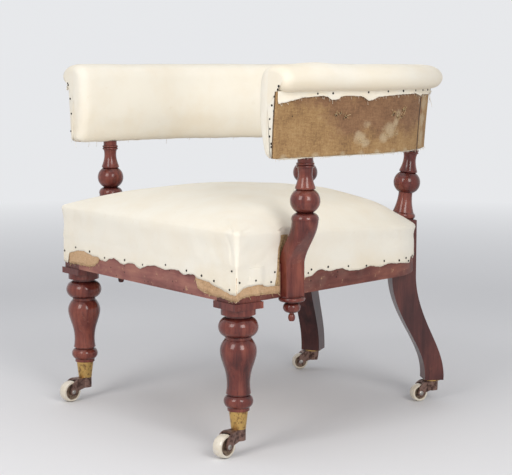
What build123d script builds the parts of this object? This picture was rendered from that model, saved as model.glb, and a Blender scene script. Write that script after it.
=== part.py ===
# Mahogany library armchair: a padded bow for back and arms on four turned supports, over a sprung seat.
# Millimetres. X runs to the right as seen from the front, Y to the back, Z up from the floor.
import math
import os

from build123d import *

os.makedirs("parts", exist_ok=True)

# Plan of the chair
front_leg_span = 562.0  # between the axes of the front legs
front_leg_y = -293.0  # axes of the front legs, the origin lies under the middle of the chair
bow_radius = 343.0  # middle line of the bow
bow_setback = 252.0  # from the front legs back to the centre of the bow's half circle
arm_front = 20.0  # from the front legs back to the front ends of the arms
arm_support_setback = 112.0  # from the front legs back to the arm supports
post_angle = 30.3  # back posts and legs, from the middle of the back, degrees
seat_taper = 7.5  # each side of the seat, degrees
seat_corner_radius = 170.0  # back corners of the seat

# Front castors and front legs, from the floor up
front_wheel_radius = 23.0
front_wheel_width = 20.0
front_trail = 42.0  # wheel axle from the pivot
front_horn_top = 2.7  # top of the horn above the wheel
pivot_gap = 0.3  # between the horn and what it turns under
cup_height = 36.0
cup_bottom_radius = 14.2
cup_top_radius = 18.6
cup_wall = 1.6
cup_floor = 5.0
ankle_radius = 21.5
ankle_height = 6.0
bead_radius = 28.5
bead_height = 24.0
groove_radius = 20.5
groove_height = 3.0
vase_foot_radius = 24.0
vase_waist_radius = 22.3
vase_radius = 35.3
vase_neck_radius = 26.5
vase_height = 105.0
neck_radius = 25.0
neck_height = 5.0
ring_radius = 38.5
ring_height = 38.0
collar_radius = 24.5
collar_height = 5.0
disc_radius = 33.5
disc_height = 12.0
cap_side = 68.0
cap_height = 13.0
leg_block = 58.0

# Seat
rail_height = 65.0
rail_thickness = 30.0
tenon_thickness = 12.0
tenon_length = 20.0
tenon_shoulder = 12.0
seat_front_rise = 74.0  # front edge of the seat above the rails
seat_back_rise = 36.0  # back edge of the seat above the rails
seat_crown = 70.0  # middle of the seat above its edges
crown_power = 2.4  # how flat the crown is in the middle
seat_crown_setback = 313.0  # from the front legs back to the top of the crown
seat_overhang = 4.0  # top edge of the seat beyond the rails
seat_draw = 3.0  # how far the sides are drawn in half way up
seat_corner_round = 16.0
crown_corner_round = 170.0  # how much rounder the front corners are towards the crown
spring_rise = 40.0  # canvas above the rails
canvas_inset = 20.0  # edge of the canvas on the rails
canvas_slope = 42.0
canvas_thickness = 2.0
cover_thickness = 1.2
soft_gap = 1.0  # between the soft parts of the seat and what they go round
cover_drop = 38.0  # calico below the top of the rails
strap_width = 50.0
strap_thickness = 2.5
spring_spacing_x = 150.0
spring_spacing_y = 125.0
spring_setback = 175.0  # from the front legs back to the front springs
spring_end_radius = 36.0
spring_waist_radius = 25.0
spring_wire = 3.6
spring_turns = 4
front_strap_setback = 60.0  # from the front legs back to the first cross strap
strap_spacing = 80.0  # between the straps that run front to back
strap_fold = 20.0  # doubled ends of those straps, under the rails
strap_margin = 8.0  # ends of the straps inside the outer faces of the rails
corner_block_length = 70.0
corner_block_height = 45.0

# Bow
bow_rise = 206.0  # underside of the bow above the seat rails
bow_height = 172.0
bow_bottom_out = 20.0  # outer face beyond the middle line, at the underside
bow_flare = 9.0  # how much further out the outer face is under the roll
roll_overhang = 25.0  # roll beyond the outer face
roll_drop = 60.0  # tacked edge of the roll below the top
pad_thickness = 33.0  # inner face inside the middle line
pad_swell = 2.0  # how much the inner face bulges
top_fall = 5.0  # how much the top falls towards the roll
shoulder_radius = 12.0
bottom_round = 46.0  # how high the inner face starts to turn under
bow_rail_height = 30.0
bow_rail_width = 30.5
bow_rail_chamfer = 6.0
upper_rail_drop = 36.0  # top of the upper rail below the top of the bow
hessian_thickness = 1.5
upright_length = 28.0
upright_angles = (-54.0, -18.0, 18.0, 54.0)  # uprights of the back, degrees from its middle
upright_room = 0.5  # between the uprights and the hessian
end_padding = 8.0
calico_lap = 12.0  # edge of the calico that is tacked over the hessian

# Turned supports
ball_radius = 29.0
ball_height = 45.0
ball_neck_radius = 15.0
baluster_neck_height = 40.0
baluster_neck_radius = 13.5
baluster_neck_swell = 1.5  # ends of the neck beyond its waist
baluster_flare_radius = 19.5
baluster_flare_height = 3.0
baluster_ring_radius = 17.5
baluster_ring_height = 5.0
baluster_ring_round = 2.0
baluster_top_height = 10.0
baluster_top_radius = 15.0
support_collar_height = 14.0
support_collar_radius = 26.5
support_collar_fall = 1.0  # how much the collar narrows before it turns in
support_collar_step = 1.2  # collar beyond the sawn part below it
support_tenon_radius = 7.0
support_tenon_length = 18.0
support_foot_thickness = 25.0
support_foot_width = 45.0
support_housing = 4.0  # how deep the support is let into the seat rail
post_base_height = 56.0
post_base_radius = 27.0
post_bead_height = 13.0
post_bead_round = 4.0
post_bell_waist = 2.0  # waist of the bell beyond the neck of the ball
post_top_out = 6.0  # top of the back post beyond the middle line of the bow
drop_collar_radius = 26.0
drop_collar_height = 9.0
drop_collar_round = 4.5
drop_ball_radius = 17.0
drop_ball_height = 19.0
drop_tip_radius = 7.0
drop_stem_radius = 4.5
drop_neck_radius = 11.0
drop_neck_height = 3.0
drop_dowel_radius = 6.0
drop_dowel_length = 18.0

# Back legs and back castors
back_leg_setin = 12.0  # back leg inside the middle line of the bow
back_leg_depth = 53.0  # along the splay, at the seat
back_foot_depth = 42.0
back_leg_width = 45.0
back_leg_splay = 71.0
back_leg_bend = 8.0  # start of the curve below the seat rails
back_leg_lead = 32.0  # how far the curve runs on nearly straight at each end
back_leg_ease = 2.0  # how far it leaves the straight in that run
back_leg_proud = 5.0  # leg beyond the seat rails
back_wheel_radius = 19.5
back_wheel_width = 17.0
back_trail = 33.0
back_horn_top = 6.0
plate_radius = 19.0
plate_thickness = 3.0

# Castor details
pin_radius = 5.0
pin_head_radius = 8.0
pin_head_height = 2.6
pin_head_room = 1.0
running_clearance = 0.05
axle_radius = 3.0
axle_head_radius = 5.0
axle_head_height = 1.5
horn_arm = 4.2
horn_plate = 3.4
hub_radius = 6.0
hub_disc_inset = 5.5  # hub disc inside the rim of the wheel
hub_disc_thickness = 1.6
wheel_recess = 3.4
tread_crown = 2.0
side_gap = 0.4
wheel_gap = 1.8
horn_radius = 14.0
horn_boss = 8.0
horn_barrel = 22.0  # depth of the barrel round the pin
horn_barrel_radius = 8.5
heading_front = (-84.0, -78.0)  # where the left and right front castors trail, degrees from +X
heading_back = (-116.0, -104.0)

# Fasteners
tack_head_radius = 3.0
tack_head_height = 1.0
tack_shank_radius = 0.9
tack_length = 12.0
tack_spacing = 46.0
tack_point = 8.0  # from the head down to where the point starts
tack_margin = 8.0  # from the edge of the calico to the tacks
leg_tack_room = 12.0  # from the side of a back leg to the tacks beside it
end_tack_spacing = 15.0  # tacks down the front ends of the arms
end_tack_inset = 13.0  # those tacks inside the outer face of the bow
screw_radius = 2.2
screw_head_radius = 4.4
screw_head_height = 2.0
countersink_depth = screw_head_radius - screw_radius
screw_circle = 13.5  # screws of a back castor plate round the pin
support_screw_rises = (30.0, 50.0)  # screws of the arm supports above the underside of the rail
support_screw_length = 46.0
castor_screw_length = 14.0

# Levels and places worked out from the sizes above
front_leg_x = front_leg_span / 2
cup_bottom_z = 2 * front_wheel_radius + front_horn_top + pivot_gap
cup_top_z = cup_bottom_z + cup_height
bead_z = cup_top_z + ankle_height
groove_z = bead_z + bead_height
vase_z = groove_z + groove_height
neck_z = vase_z + vase_height
ring_z = neck_z + neck_height
collar_z = ring_z + ring_height
disc_z = collar_z + collar_height
cap_z = disc_z + disc_height
rail_z = cap_z + cap_height
rail_top_z = rail_z + rail_height
bow_z = rail_top_z + bow_rise
bow_top_z = bow_z + bow_height
bow_center_y = front_leg_y + bow_setback
arm_front_y = front_leg_y + arm_front
arm_support_y = front_leg_y + arm_support_setback
crown_y = front_leg_y + seat_crown_setback
block_half = leg_block / 2
seat_front_y = front_leg_y - block_half
seat_front_half = front_leg_x + block_half + seat_overhang
block_back_y = front_leg_y + block_half
taper = math.radians(seat_taper)
splay = math.radians(post_angle)
out_x = math.sin(splay)
out_y = math.cos(splay)
leg_radius = bow_radius - back_leg_setin
leg_x = leg_radius * out_x
leg_y = bow_center_y + leg_radius * out_y
leg_reach = back_leg_depth / 2 - back_leg_proud  # outer faces of the rails beyond the middle of the leg
post_run = bow_radius + post_top_out - leg_radius
post_length = (
    post_base_height + ball_height + baluster_neck_height + 2 * baluster_ring_height + baluster_top_height
)
post_lean = math.asin(post_run / post_length)
leg_top_z = bow_z - post_length * math.cos(post_lean)
back_foot_z = 2 * back_wheel_radius + back_horn_top + pivot_gap + plate_thickness
support_collar_z = bow_z - (
    support_collar_height + ball_height + baluster_neck_height + 2 * baluster_ring_height + baluster_top_height
)


# The back corner of the seat is an arc that is tangent to the side rail and passes just inside the back leg.
def seat_corner():
    side = (-math.sin(taper), math.cos(taper))
    dx = leg_x + leg_reach * out_x - (seat_front_half - seat_corner_radius * math.cos(taper))
    dy = leg_y + leg_reach * out_y - (seat_front_y - seat_corner_radius * math.sin(taper))
    along = dx * side[0] + dy * side[1]
    step = along - math.sqrt(seat_corner_radius**2 - dx**2 - dy**2 + along**2)
    x = seat_front_half - seat_corner_radius * math.cos(taper) + step * side[0]
    y = seat_front_y - seat_corner_radius * math.sin(taper) + step * side[1]
    return x, y


corner_x, corner_y = seat_corner()
seat_back_y = corner_y + seat_corner_radius


# Outer face of a side rail at a given depth.
def rail_face_x(y):
    return seat_front_half - (y - seat_front_y) * math.tan(taper)


support_foot_x = rail_face_x(arm_support_y) - support_housing + support_foot_thickness / 2


def write(part, name):
    part.label = name
    export_step(part, f"parts/{name}.step")


# Writes a piece of the right side under its own name, and its mirror image as the left one.
def write_pair(part, pattern):
    write(part, pattern.format("right"))
    with BuildPart() as twin:
        mirror(part, about=Plane.YZ)
    write(twin.part, pattern.format("left"))


# Upright plane through a point: its x runs along the heading, its y runs up.
def upright(x, y, heading=0.0, z=0.0):
    turn = math.radians(heading)
    return Plane(
        origin=(x, y, z),
        x_dir=(math.cos(turn), math.sin(turn), 0),
        z_dir=(math.sin(turn), -math.cos(turn), 0),
    )


# Closed outline: a move with one point is a line, with two an arc through the first, with more a spline.
def outline(plane, start, moves):
    with BuildSketch(plane) as sketch:
        with BuildLine():
            here = start
            for move in moves:
                if len(move) == 1:
                    Line(here, move[0])
                elif len(move) == 2:
                    ThreePointArc(here, move[0], move[1])
                else:
                    Spline(here, *move)
                here = move[-1]
            Line(here, start)
        make_face()
    return sketch.sketch


# Arc of a dome on the axis, from its base outwards or from its top inwards, as a move of an outline.
def dome(base_radius, base, top, inwards=True):
    rise = top - base
    ball = (base_radius**2 + rise**2) / (2 * abs(rise))
    middle_radius = base_radius / 2
    drop = ball - math.sqrt(ball**2 - middle_radius**2)
    middle = (middle_radius, top - math.copysign(drop, rise))
    return (middle, (0, top)) if inwards else (middle, (base_radius, base))


# Plan of the seat, drawn in by inset from the outer faces of the rails and scaled about the crown.
def seat_plan(plane, inset=0.0, scale=1.0, corner_round=0.0):
    radius = seat_corner_radius - inset
    front = seat_front_y + inset
    touch = (corner_x + radius * math.cos(taper), corner_y + radius * math.sin(taper))
    front_x = touch[0] + (touch[1] - front) * math.tan(taper)
    half_turn = (taper + math.pi / 2) / 2
    middle = (corner_x + radius * math.cos(half_turn), corner_y + radius * math.sin(half_turn))
    back = (corner_x, corner_y + radius)

    def place(x, y):
        return (x * scale, (y - crown_y) * scale)

    with BuildSketch(plane) as sketch:
        with BuildLine():
            Line(place(-front_x, front), place(front_x, front))
            Line(place(front_x, front), place(*touch))
            ThreePointArc(place(*touch), place(*middle), place(*back))
            Line(place(*back), place(-back[0], back[1]))
            ThreePointArc(place(-back[0], back[1]), place(-middle[0], middle[1]), place(-touch[0], touch[1]))
            Line(place(-touch[0], touch[1]), place(-front_x, front))
        make_face()
        if corner_round:
            fillet(sketch.vertices().group_by(Axis.Y)[0], corner_round * scale)
    return sketch.sketch


# Level plane whose origin is under the crown; rake tips it back.
def seat_level(z, rake=0.0):
    return Plane(origin=(0, crown_y, z), x_dir=(1, 0, 0), z_dir=(0, math.sin(rake), math.cos(rake)))


# Front legs: turned below, square at the rails, with a tapered spigot that fills the castor cup.
def spigot_radius(z):
    rise = (z - cup_bottom_z) / cup_height
    return cup_bottom_radius + (cup_top_radius - cup_bottom_radius) * rise - cup_wall


cup_floor_z = cup_bottom_z + cup_floor
pin_room_radius = pin_head_radius + pin_head_room
pin_room_height = pin_head_height + pivot_gap + pin_head_room
front_leg_outline = outline(
    upright(front_leg_x, front_leg_y),
    (0, cup_floor_z),
    [
        ((spigot_radius(cup_floor_z), cup_floor_z),),
        ((spigot_radius(cup_top_z), cup_top_z),),
        ((ankle_radius, cup_top_z),),
        ((ankle_radius, bead_z),),
        ((bead_radius, bead_z + bead_height / 2), (ankle_radius, groove_z)),
        ((groove_radius, groove_z),),
        ((groove_radius, vase_z),),
        ((vase_foot_radius, vase_z),),
        (
            (vase_waist_radius, vase_z + 0.14 * vase_height),
            (vase_waist_radius + 0.25 * (vase_radius - vase_waist_radius), vase_z + 0.42 * vase_height),
            (vase_radius, vase_z + 0.79 * vase_height),
            (vase_neck_radius, neck_z),
        ),
        ((neck_radius, neck_z),),
        ((neck_radius, ring_z),),
        ((ring_radius, ring_z + ring_height / 2), (neck_radius, collar_z)),
        ((collar_radius, collar_z),),
        ((collar_radius, disc_z),),
        ((disc_radius, disc_z),),
        ((disc_radius, cap_z),),
        ((0, cap_z),),
    ],
)
front_rail_half = front_leg_x - block_half
front_tenon_y = seat_front_y + rail_thickness / 2
side_tenon_x = rail_face_x(block_back_y) - rail_thickness / 2
tenon_height = rail_height - 2 * tenon_shoulder
tenon_z = rail_z + tenon_shoulder
with BuildPart() as front_leg:
    revolve(front_leg_outline, axis=Axis((front_leg_x, front_leg_y, 0), (0, 0, 1)))
    with BuildSketch(Plane.XY.offset(cap_z)):
        with Locations((front_leg_x, front_leg_y)):
            Rectangle(cap_side, cap_side)
    extrude(amount=cap_height)
    with BuildSketch(Plane.XY.offset(rail_z)):
        with Locations((front_leg_x, front_leg_y)):
            Rectangle(leg_block, leg_block)
    extrude(amount=rail_height)
    # room for the head of the castor pin, and mortises for the two rails
    with BuildSketch(Plane.XY.offset(cup_floor_z)):
        with Locations((front_leg_x, front_leg_y)):
            Circle(pin_room_radius)
    extrude(amount=pin_room_height, mode=Mode.SUBTRACT)
    with BuildSketch(Plane.XY.offset(tenon_z)):
        with Locations((front_rail_half + tenon_length / 2, front_tenon_y)):
            Rectangle(tenon_length, tenon_thickness)
        with Locations((side_tenon_x, block_back_y - tenon_length / 2)):
            Rectangle(tenon_thickness, tenon_length)
    extrude(amount=tenon_height, mode=Mode.SUBTRACT)
write_pair(front_leg.part, "front_{}_leg")

# Back legs: a straight block at the seat, then a sabre curve out to the foot, sawn in the plane of the splay.
back_plane = upright(0, bow_center_y, 90 - post_angle)
half_top = back_leg_depth / 2
half_foot = back_foot_depth / 2
foot_radius = leg_radius + back_leg_splay
bend_z = rail_z - back_leg_bend
middle_z = (bend_z + back_foot_z) / 2
middle_radius = leg_radius + 0.46 * back_leg_splay
middle_half = (half_top + half_foot) / 2
top_drop = half_top * math.tan(post_lean)
back_leg_outline = outline(
    back_plane,
    (leg_radius - half_top, leg_top_z + top_drop),
    [
        ((leg_radius - half_top, bend_z),),
        (
            (leg_radius - half_top + back_leg_ease, bend_z - back_leg_lead),
            (middle_radius - middle_half, middle_z),
            (foot_radius - half_foot - back_leg_ease, back_foot_z + back_leg_lead),
            (foot_radius - half_foot, back_foot_z),
        ),
        ((foot_radius + half_foot, back_foot_z),),
        (
            (foot_radius + half_foot - back_leg_ease, back_foot_z + back_leg_lead),
            (middle_radius + middle_half, middle_z),
            (leg_radius + half_top + back_leg_ease, bend_z - back_leg_lead),
            (leg_radius + half_top, bend_z),
        ),
        ((leg_radius + half_top, leg_top_z - top_drop),),
    ],
)
foot_x = foot_radius * out_x
foot_y = bow_center_y + foot_radius * out_y
with BuildPart() as back_leg_blank:
    extrude(back_leg_outline, amount=back_leg_width / 2, both=True)

# Frame of the axis of a back post: its y runs up the leaning post.
post_base = Vector(leg_x, leg_y, leg_top_z)
post_axis = Vector(out_x * math.sin(post_lean), out_y * math.sin(post_lean), math.cos(post_lean))
post_side = Vector(out_x * math.cos(post_lean), out_y * math.cos(post_lean), -math.sin(post_lean))
post_plane = Plane(origin=post_base, x_dir=post_side, z_dir=post_side.cross(post_axis))


# Wedge of the plan between the back legs or beside them, for cutting the rails and their tenons.
def rail_zone(back, turn=0.0):
    angle = splay + turn
    reach = 2 * bow_radius
    corner = (reach * math.sin(angle), bow_center_y + reach * math.cos(angle))
    if back:
        return [(0, bow_center_y), corner, (-corner[0], corner[1])]
    return [(0, bow_center_y), (0, block_back_y), (reach, block_back_y), (reach, corner[1]), corner]


# Part of a ring that follows the plan of the seat, from one level up, inside a zone.
def ring_piece(z, height, outer, inner, zone):
    with BuildPart() as piece:
        extrude(seat_plan(seat_level(z), outer), amount=height)
        extrude(seat_plan(seat_level(z), inner), amount=height, mode=Mode.SUBTRACT)
        with BuildSketch(Plane.XY.offset(z)):
            Polygon(*zone, align=None)
        extrude(amount=height, mode=Mode.INTERSECT)
    return piece.part


# Seat rails, with tenons into the legs
tenon_inset = (rail_thickness - tenon_thickness) / 2
tenon_turn = (back_leg_width / 2 - tenon_length) / leg_radius
side_tenon = ring_piece(
    tenon_z, tenon_height, tenon_inset, rail_thickness - tenon_inset, rail_zone(False, tenon_turn)
)
back_tenon = ring_piece(
    tenon_z, tenon_height, tenon_inset, rail_thickness - tenon_inset, rail_zone(True, -tenon_turn)
)
with BuildPart() as back_leg:
    add(back_leg_blank.part)
    add(side_tenon, mode=Mode.SUBTRACT)
    add(back_tenon, mode=Mode.SUBTRACT)
    # socket for the dowel of the post, and room for the head of the castor pin
    with BuildSketch(Plane(post_base, x_dir=post_side, z_dir=post_axis)):
        Circle(support_tenon_radius)
    extrude(amount=-support_tenon_length, mode=Mode.SUBTRACT)
    with BuildSketch(Plane.XY.offset(back_foot_z)):
        with Locations((foot_x, foot_y)):
            Circle(pin_room_radius)
    extrude(amount=pin_room_height, mode=Mode.SUBTRACT)
write_pair(back_leg.part, "back_{}_leg")

with BuildPart() as front_rail:
    with BuildSketch(Plane.XY.offset(rail_z)):
        with Locations((0, front_tenon_y)):
            Rectangle(2 * front_rail_half, rail_thickness)
    extrude(amount=rail_height)
    with BuildSketch(Plane.XY.offset(tenon_z)):
        with Locations((0, front_tenon_y)):
            Rectangle(2 * (front_rail_half + tenon_length), tenon_thickness)
    extrude(amount=tenon_height)
write(front_rail.part, "front_rail")

with BuildPart() as side_rail:
    add(ring_piece(rail_z, rail_height, 0, rail_thickness, rail_zone(False)))
    add(back_leg_blank.part, mode=Mode.SUBTRACT)
    add(side_tenon)
    with BuildSketch(Plane.XY.offset(tenon_z)):
        with Locations((side_tenon_x, block_back_y - tenon_length / 2)):
            Rectangle(tenon_thickness, tenon_length)
    extrude(amount=tenon_height)
    # housing for the arm support
    with BuildSketch(Plane.XY.offset(rail_z)):
        with Locations((support_foot_x, arm_support_y)):
            Rectangle(support_foot_thickness, support_foot_width)
    extrude(amount=rail_height, mode=Mode.SUBTRACT)
write_pair(side_rail.part, "{}_rail")

with BuildPart() as back_rail:
    add(ring_piece(rail_z, rail_height, 0, rail_thickness, rail_zone(True)))
    add(back_leg_blank.part, mode=Mode.SUBTRACT)
    mirror(back_leg_blank.part, about=Plane.YZ, mode=Mode.SUBTRACT)
    add(back_tenon)
write(back_rail.part, "back_rail")


# Balusters share one outline from the ball up, from a given height; extra lengthens the top.
def baluster_moves(z, extra=0.0):
    neck = z + ball_height
    rings = neck + baluster_neck_height
    top = rings + 2 * baluster_ring_height
    end = top + baluster_top_height + extra
    ring_edge = baluster_ring_radius - baluster_ring_round
    return [
        ((ball_radius, z + ball_height / 2), (ball_neck_radius, neck)),
        ((baluster_flare_radius, neck),),
        ((baluster_flare_radius, neck + baluster_flare_height),),
        (
            (baluster_neck_radius + baluster_neck_swell, neck + 0.42 * baluster_neck_height),
            (baluster_neck_radius, neck + 0.74 * baluster_neck_height),
            (baluster_neck_radius + baluster_neck_swell, rings),
        ),
        ((ring_edge, rings),),
        ((baluster_ring_radius, rings + baluster_ring_height / 2), (ring_edge, rings + baluster_ring_height)),
        ((baluster_ring_radius, rings + 1.5 * baluster_ring_height), (ring_edge, top)),
        ((baluster_top_radius, top),),
        ((baluster_top_radius, end),),
        ((0, end),),
    ]


# Back posts: a bell-shaped base under the ball, and a dowel into the leg.
post_outline = outline(
    post_plane,
    (0, -support_tenon_length),
    [
        ((support_tenon_radius, -support_tenon_length),),
        ((support_tenon_radius, 0),),
        ((post_base_radius - post_bead_round, 0),),
        ((post_base_radius, post_bead_height / 2), (post_base_radius - post_bead_round, post_bead_height)),
        (
            (ball_neck_radius + post_bell_waist, 0.6 * post_base_height),
            (ball_neck_radius, post_base_height),
        ),
    ]
    + baluster_moves(post_base_height, baluster_top_radius * math.tan(post_lean)),
)
with BuildPart() as post_tenon:
    post_level = Plane(post_base, x_dir=post_side, z_dir=post_axis)
    with BuildSketch(post_level.offset(post_length - baluster_top_height)):
        Circle(support_tenon_radius)
    extrude(amount=baluster_top_height + support_tenon_length)
with BuildPart() as back_post:
    revolve(post_outline, axis=Axis(post_base, post_axis))
    split(bisect_by=Plane.XY.offset(bow_z), keep=Keep.BOTTOM)
    add(post_tenon.part)
write_pair(back_post.part, "back_{}_post")

# Arm supports: a flat foot on the rail that sweeps out and rounds into the turned collar.
support_outline = outline(
    upright(bow_radius, arm_support_y),
    (0, support_collar_z),
    [
        ((support_collar_radius, support_collar_z),),
        (
            (support_collar_radius - support_collar_fall, support_collar_z + 0.45 * support_collar_height),
            (ball_neck_radius, support_collar_z + support_collar_height),
        ),
    ]
    + baluster_moves(support_collar_z + support_collar_height),
)
scroll_height = support_collar_z - rail_z
scroll_out = bow_radius - support_foot_x
scroll_end_radius = support_collar_radius - support_collar_step
scroll_width = 2 * scroll_end_radius - support_foot_width
scroll_depth = 2 * scroll_end_radius - support_foot_thickness
# height share, sweep share, swell share and corner radius of each section
scroll_sections = [
    (rail_height / scroll_height, 0.0, 0.0, 2.0),
    (0.54, 0.12, 0.17, 5.0),
    (0.65, 0.36, 0.4, 10.0),
    (0.78, 0.7, 0.68, 17.0),
    (0.91, 0.95, 0.92, 23.0),
    (1.0, 1.0, 1.0, scroll_end_radius - support_collar_step),
]
scroll_faces = []
for height_share, sweep_share, swell_share, corner in scroll_sections:
    with BuildSketch(Plane.XY.offset(rail_z + height_share * scroll_height)) as scroll_section:
        with Locations((support_foot_x + sweep_share * scroll_out, arm_support_y)):
            RectangleRounded(
                support_foot_thickness + swell_share * scroll_depth,
                support_foot_width + swell_share * scroll_width,
                corner,
            )
    scroll_faces.append(scroll_section.sketch)
with BuildPart() as support_tenon:
    with BuildSketch(Plane.XY.offset(bow_z)):
        with Locations((bow_radius, arm_support_y)):
            Circle(support_tenon_radius)
    extrude(amount=support_tenon_length)
with BuildPart() as arm_support:
    extrude(scroll_faces[0], amount=-scroll_sections[0][0] * scroll_height)
    loft(scroll_faces)
    revolve(support_outline, axis=Axis((bow_radius, arm_support_y, 0), (0, 0, 1)))
    add(support_tenon.part)
    # socket for the dowel of the drop finial
    with BuildSketch(Plane.XY.offset(rail_z)):
        with Locations((support_foot_x, arm_support_y)):
            Circle(drop_dowel_radius)
    extrude(amount=drop_dowel_length, mode=Mode.SUBTRACT)
write_pair(arm_support.part, "{}_arm_support")

# Drop finials: a collar, a ball and a small ball on a thin neck for its tip
drop_collar_z = rail_z - drop_collar_height
drop_ball_z = drop_collar_z - drop_neck_height
drop_stem_z = drop_ball_z - drop_ball_height
drop_tip_z = drop_stem_z - drop_neck_height
drop_collar_edge = drop_collar_radius - drop_collar_round
drop_outline = outline(
    upright(support_foot_x, arm_support_y),
    (0, rail_z + drop_dowel_length),
    [
        ((drop_dowel_radius, rail_z + drop_dowel_length),),
        ((drop_dowel_radius, rail_z),),
        ((drop_collar_edge, rail_z),),
        ((drop_collar_radius, rail_z - drop_collar_height / 2), (drop_collar_edge, drop_collar_z)),
        ((drop_neck_radius, drop_collar_z),),
        ((drop_neck_radius, drop_ball_z),),
        ((drop_ball_radius, drop_ball_z - drop_ball_height / 2), (drop_stem_radius, drop_stem_z)),
        ((drop_stem_radius, drop_tip_z),),
        ((drop_tip_radius, drop_tip_z - drop_tip_radius), (drop_stem_radius, drop_tip_z - 2 * drop_tip_radius)),
        ((0, drop_tip_z - 2 * drop_tip_radius),),
    ],
)
with BuildPart() as drop_finial:
    revolve(drop_outline, axis=Axis((support_foot_x, arm_support_y, 0), (0, 0, 1)))
write_pair(drop_finial.part, "{}_drop_finial")


# Corner blocks, glued behind the front legs against both rails
def rail_inner_x(y):
    return rail_face_x(y) - rail_thickness / math.cos(taper)


rail_inner_y = seat_front_y + rail_thickness
block_end_y = block_back_y + corner_block_length
corner_block_outline = [
    (front_rail_half - corner_block_length, rail_inner_y),
    (front_rail_half, rail_inner_y),
    (front_rail_half, block_back_y),
    (rail_inner_x(block_back_y), block_back_y),
    (rail_inner_x(block_end_y), block_end_y),
]
with BuildPart() as corner_blocks:
    with BuildSketch(Plane.XY.offset(rail_z + (rail_height - corner_block_height) / 2)):
        Polygon(*corner_block_outline, align=None)
    extrude(amount=corner_block_height)
    mirror(about=Plane.YZ)
write(corner_blocks.part, "corner_blocks")

# Webbing: cross straps under the side rails, and straps from front to back below them with doubled ends
spring_rows = [front_leg_y + spring_setback + row * spring_spacing_y for row in range(3)]
strap_rows = [front_leg_y + front_strap_setback] + spring_rows
with BuildPart() as seat_webbing:
    with BuildSketch(Plane.XY.offset(rail_z - strap_thickness)):
        for strap_y in strap_rows:
            with Locations((0, strap_y)):
                Rectangle(2 * (rail_face_x(strap_y + strap_width) - strap_margin), strap_width)
    extrude(amount=strap_thickness)
    strap_front = seat_front_y + strap_margin
    strap_back = seat_back_y - strap_margin
    for strap_x in (-strap_spacing, 0, strap_spacing):
        with BuildSketch(Plane.XY.offset(rail_z - strap_thickness)):
            with Locations((strap_x, (strap_front + strap_back) / 2)):
                Rectangle(strap_width, strap_back - strap_front)
        extrude(amount=-strap_thickness)
        with BuildSketch(Plane.XY.offset(rail_z - strap_thickness)):
            for fold_y in (strap_front + strap_fold / 2, strap_back - strap_fold / 2):
                with Locations((strap_x, fold_y)):
                    Rectangle(strap_width, strap_fold)
        extrude(amount=strap_thickness)
write(seat_webbing.part, "seat_webbing")

# Springs: an hourglass coil on the webbing, up to the canvas, each half turn as two arcs
spring_height = rail_height + spring_rise - canvas_thickness - spring_wire
half_turns = 2 * spring_turns


def coil_point(step):
    share = step / half_turns
    pinch = 4 * share * (1 - share)
    radius = spring_end_radius - (spring_end_radius - spring_waist_radius) * pinch - spring_wire / 2
    turn = math.pi * step
    return Vector(radius * math.cos(turn), radius * math.sin(turn), spring_height * share)


def coil_tangent(step):
    slope = spring_height / half_turns / math.pi
    radius = math.hypot(coil_point(step).X, coil_point(step).Y)
    turn = math.pi * step
    return Vector(-radius * math.sin(turn), radius * math.cos(turn), slope).normalized()


# Arm length of the two tangents that makes a pair of arcs meet smoothly between two points.
def biarc_arm(start, start_tangent, end, end_tangent):
    chord = end - start
    both = start_tangent + end_tangent
    a = both.dot(both) - 4
    b = -2 * chord.dot(both)
    c = chord.dot(chord)
    return (-b - math.sqrt(b * b - 4 * a * c)) / (2 * a)


with BuildPart() as spring:
    with BuildLine() as coil:
        for step in range(half_turns):
            start = coil_point(step)
            end = coil_point(step + 1)
            start_tangent = coil_tangent(step)
            end_tangent = coil_tangent(step + 1)
            arm = biarc_arm(start, start_tangent, end, end_tangent)
            start_arm = start + start_tangent * arm
            end_arm = end - end_tangent * arm
            joint = (start_arm + end_arm) * 0.5
            TangentArc(start, joint, tangent=start_tangent)
            TangentArc(joint, end, tangent=(end_arm - start_arm).normalized())
    with BuildSketch(Plane(coil_point(0), x_dir=(1, 0, 0), z_dir=coil_tangent(0))):
        Circle(spring_wire / 2)
    sweep(path=coil.wire())
wire_volume = math.pi * (spring_wire / 2) ** 2 * coil.wire().length
print("spring volume", spring.part.volume, "wire section times length", wire_volume)
turn_points = 100
coil_steps = turn_points * spring_turns
coil_points = [coil.wire().position_at(step / coil_steps) for step in range(coil_steps + 1)]
coil_gap = min(
    (first - second).length - spring_wire
    for index, first in enumerate(coil_points)
    for second in coil_points[index + turn_points // 2 :]
)
print("least gap between turns of a spring", round(coil_gap, 2))
spring_foot_z = rail_z + spring_wire / 2
spring_columns = (-spring_spacing_x, 0, spring_spacing_x)
with BuildPart() as seat_springs:
    for row_y in spring_rows:
        with Locations(*[(column_x, row_y, spring_foot_z) for column_x in spring_columns]):
            add(spring.part)
write(seat_springs.part, "seat_springs")

# Room for the back legs and their posts, and for the arm supports, in the soft parts of the seat
support_inner_x = rail_face_x(arm_support_y) - support_housing
leg_heading = 90 - post_angle
with BuildPart() as seat_room:
    with BuildSketch(Plane.XY.offset(rail_z)):
        with Locations(Location((leg_x, leg_y, 0), leg_heading)):
            Rectangle(back_leg_depth + 2 * soft_gap, back_leg_width + 2 * soft_gap)
    extrude(amount=leg_top_z + top_drop - rail_z)
    with BuildSketch(Plane.XY.offset(rail_top_z)):
        with Locations((leg_x, leg_y)):
            Circle(post_base_radius + soft_gap)
    extrude(amount=bow_z - rail_top_z)
    with BuildSketch(Plane.XY.offset(rail_z)):
        with Locations((support_inner_x - soft_gap, arm_support_y)):
            Rectangle(
                2 * support_collar_radius,
                2 * (support_collar_radius + soft_gap),
                align=(Align.MIN, Align.CENTER),
            )
    extrude(amount=support_collar_z - rail_z)
    mirror(about=Plane.YZ)

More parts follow.
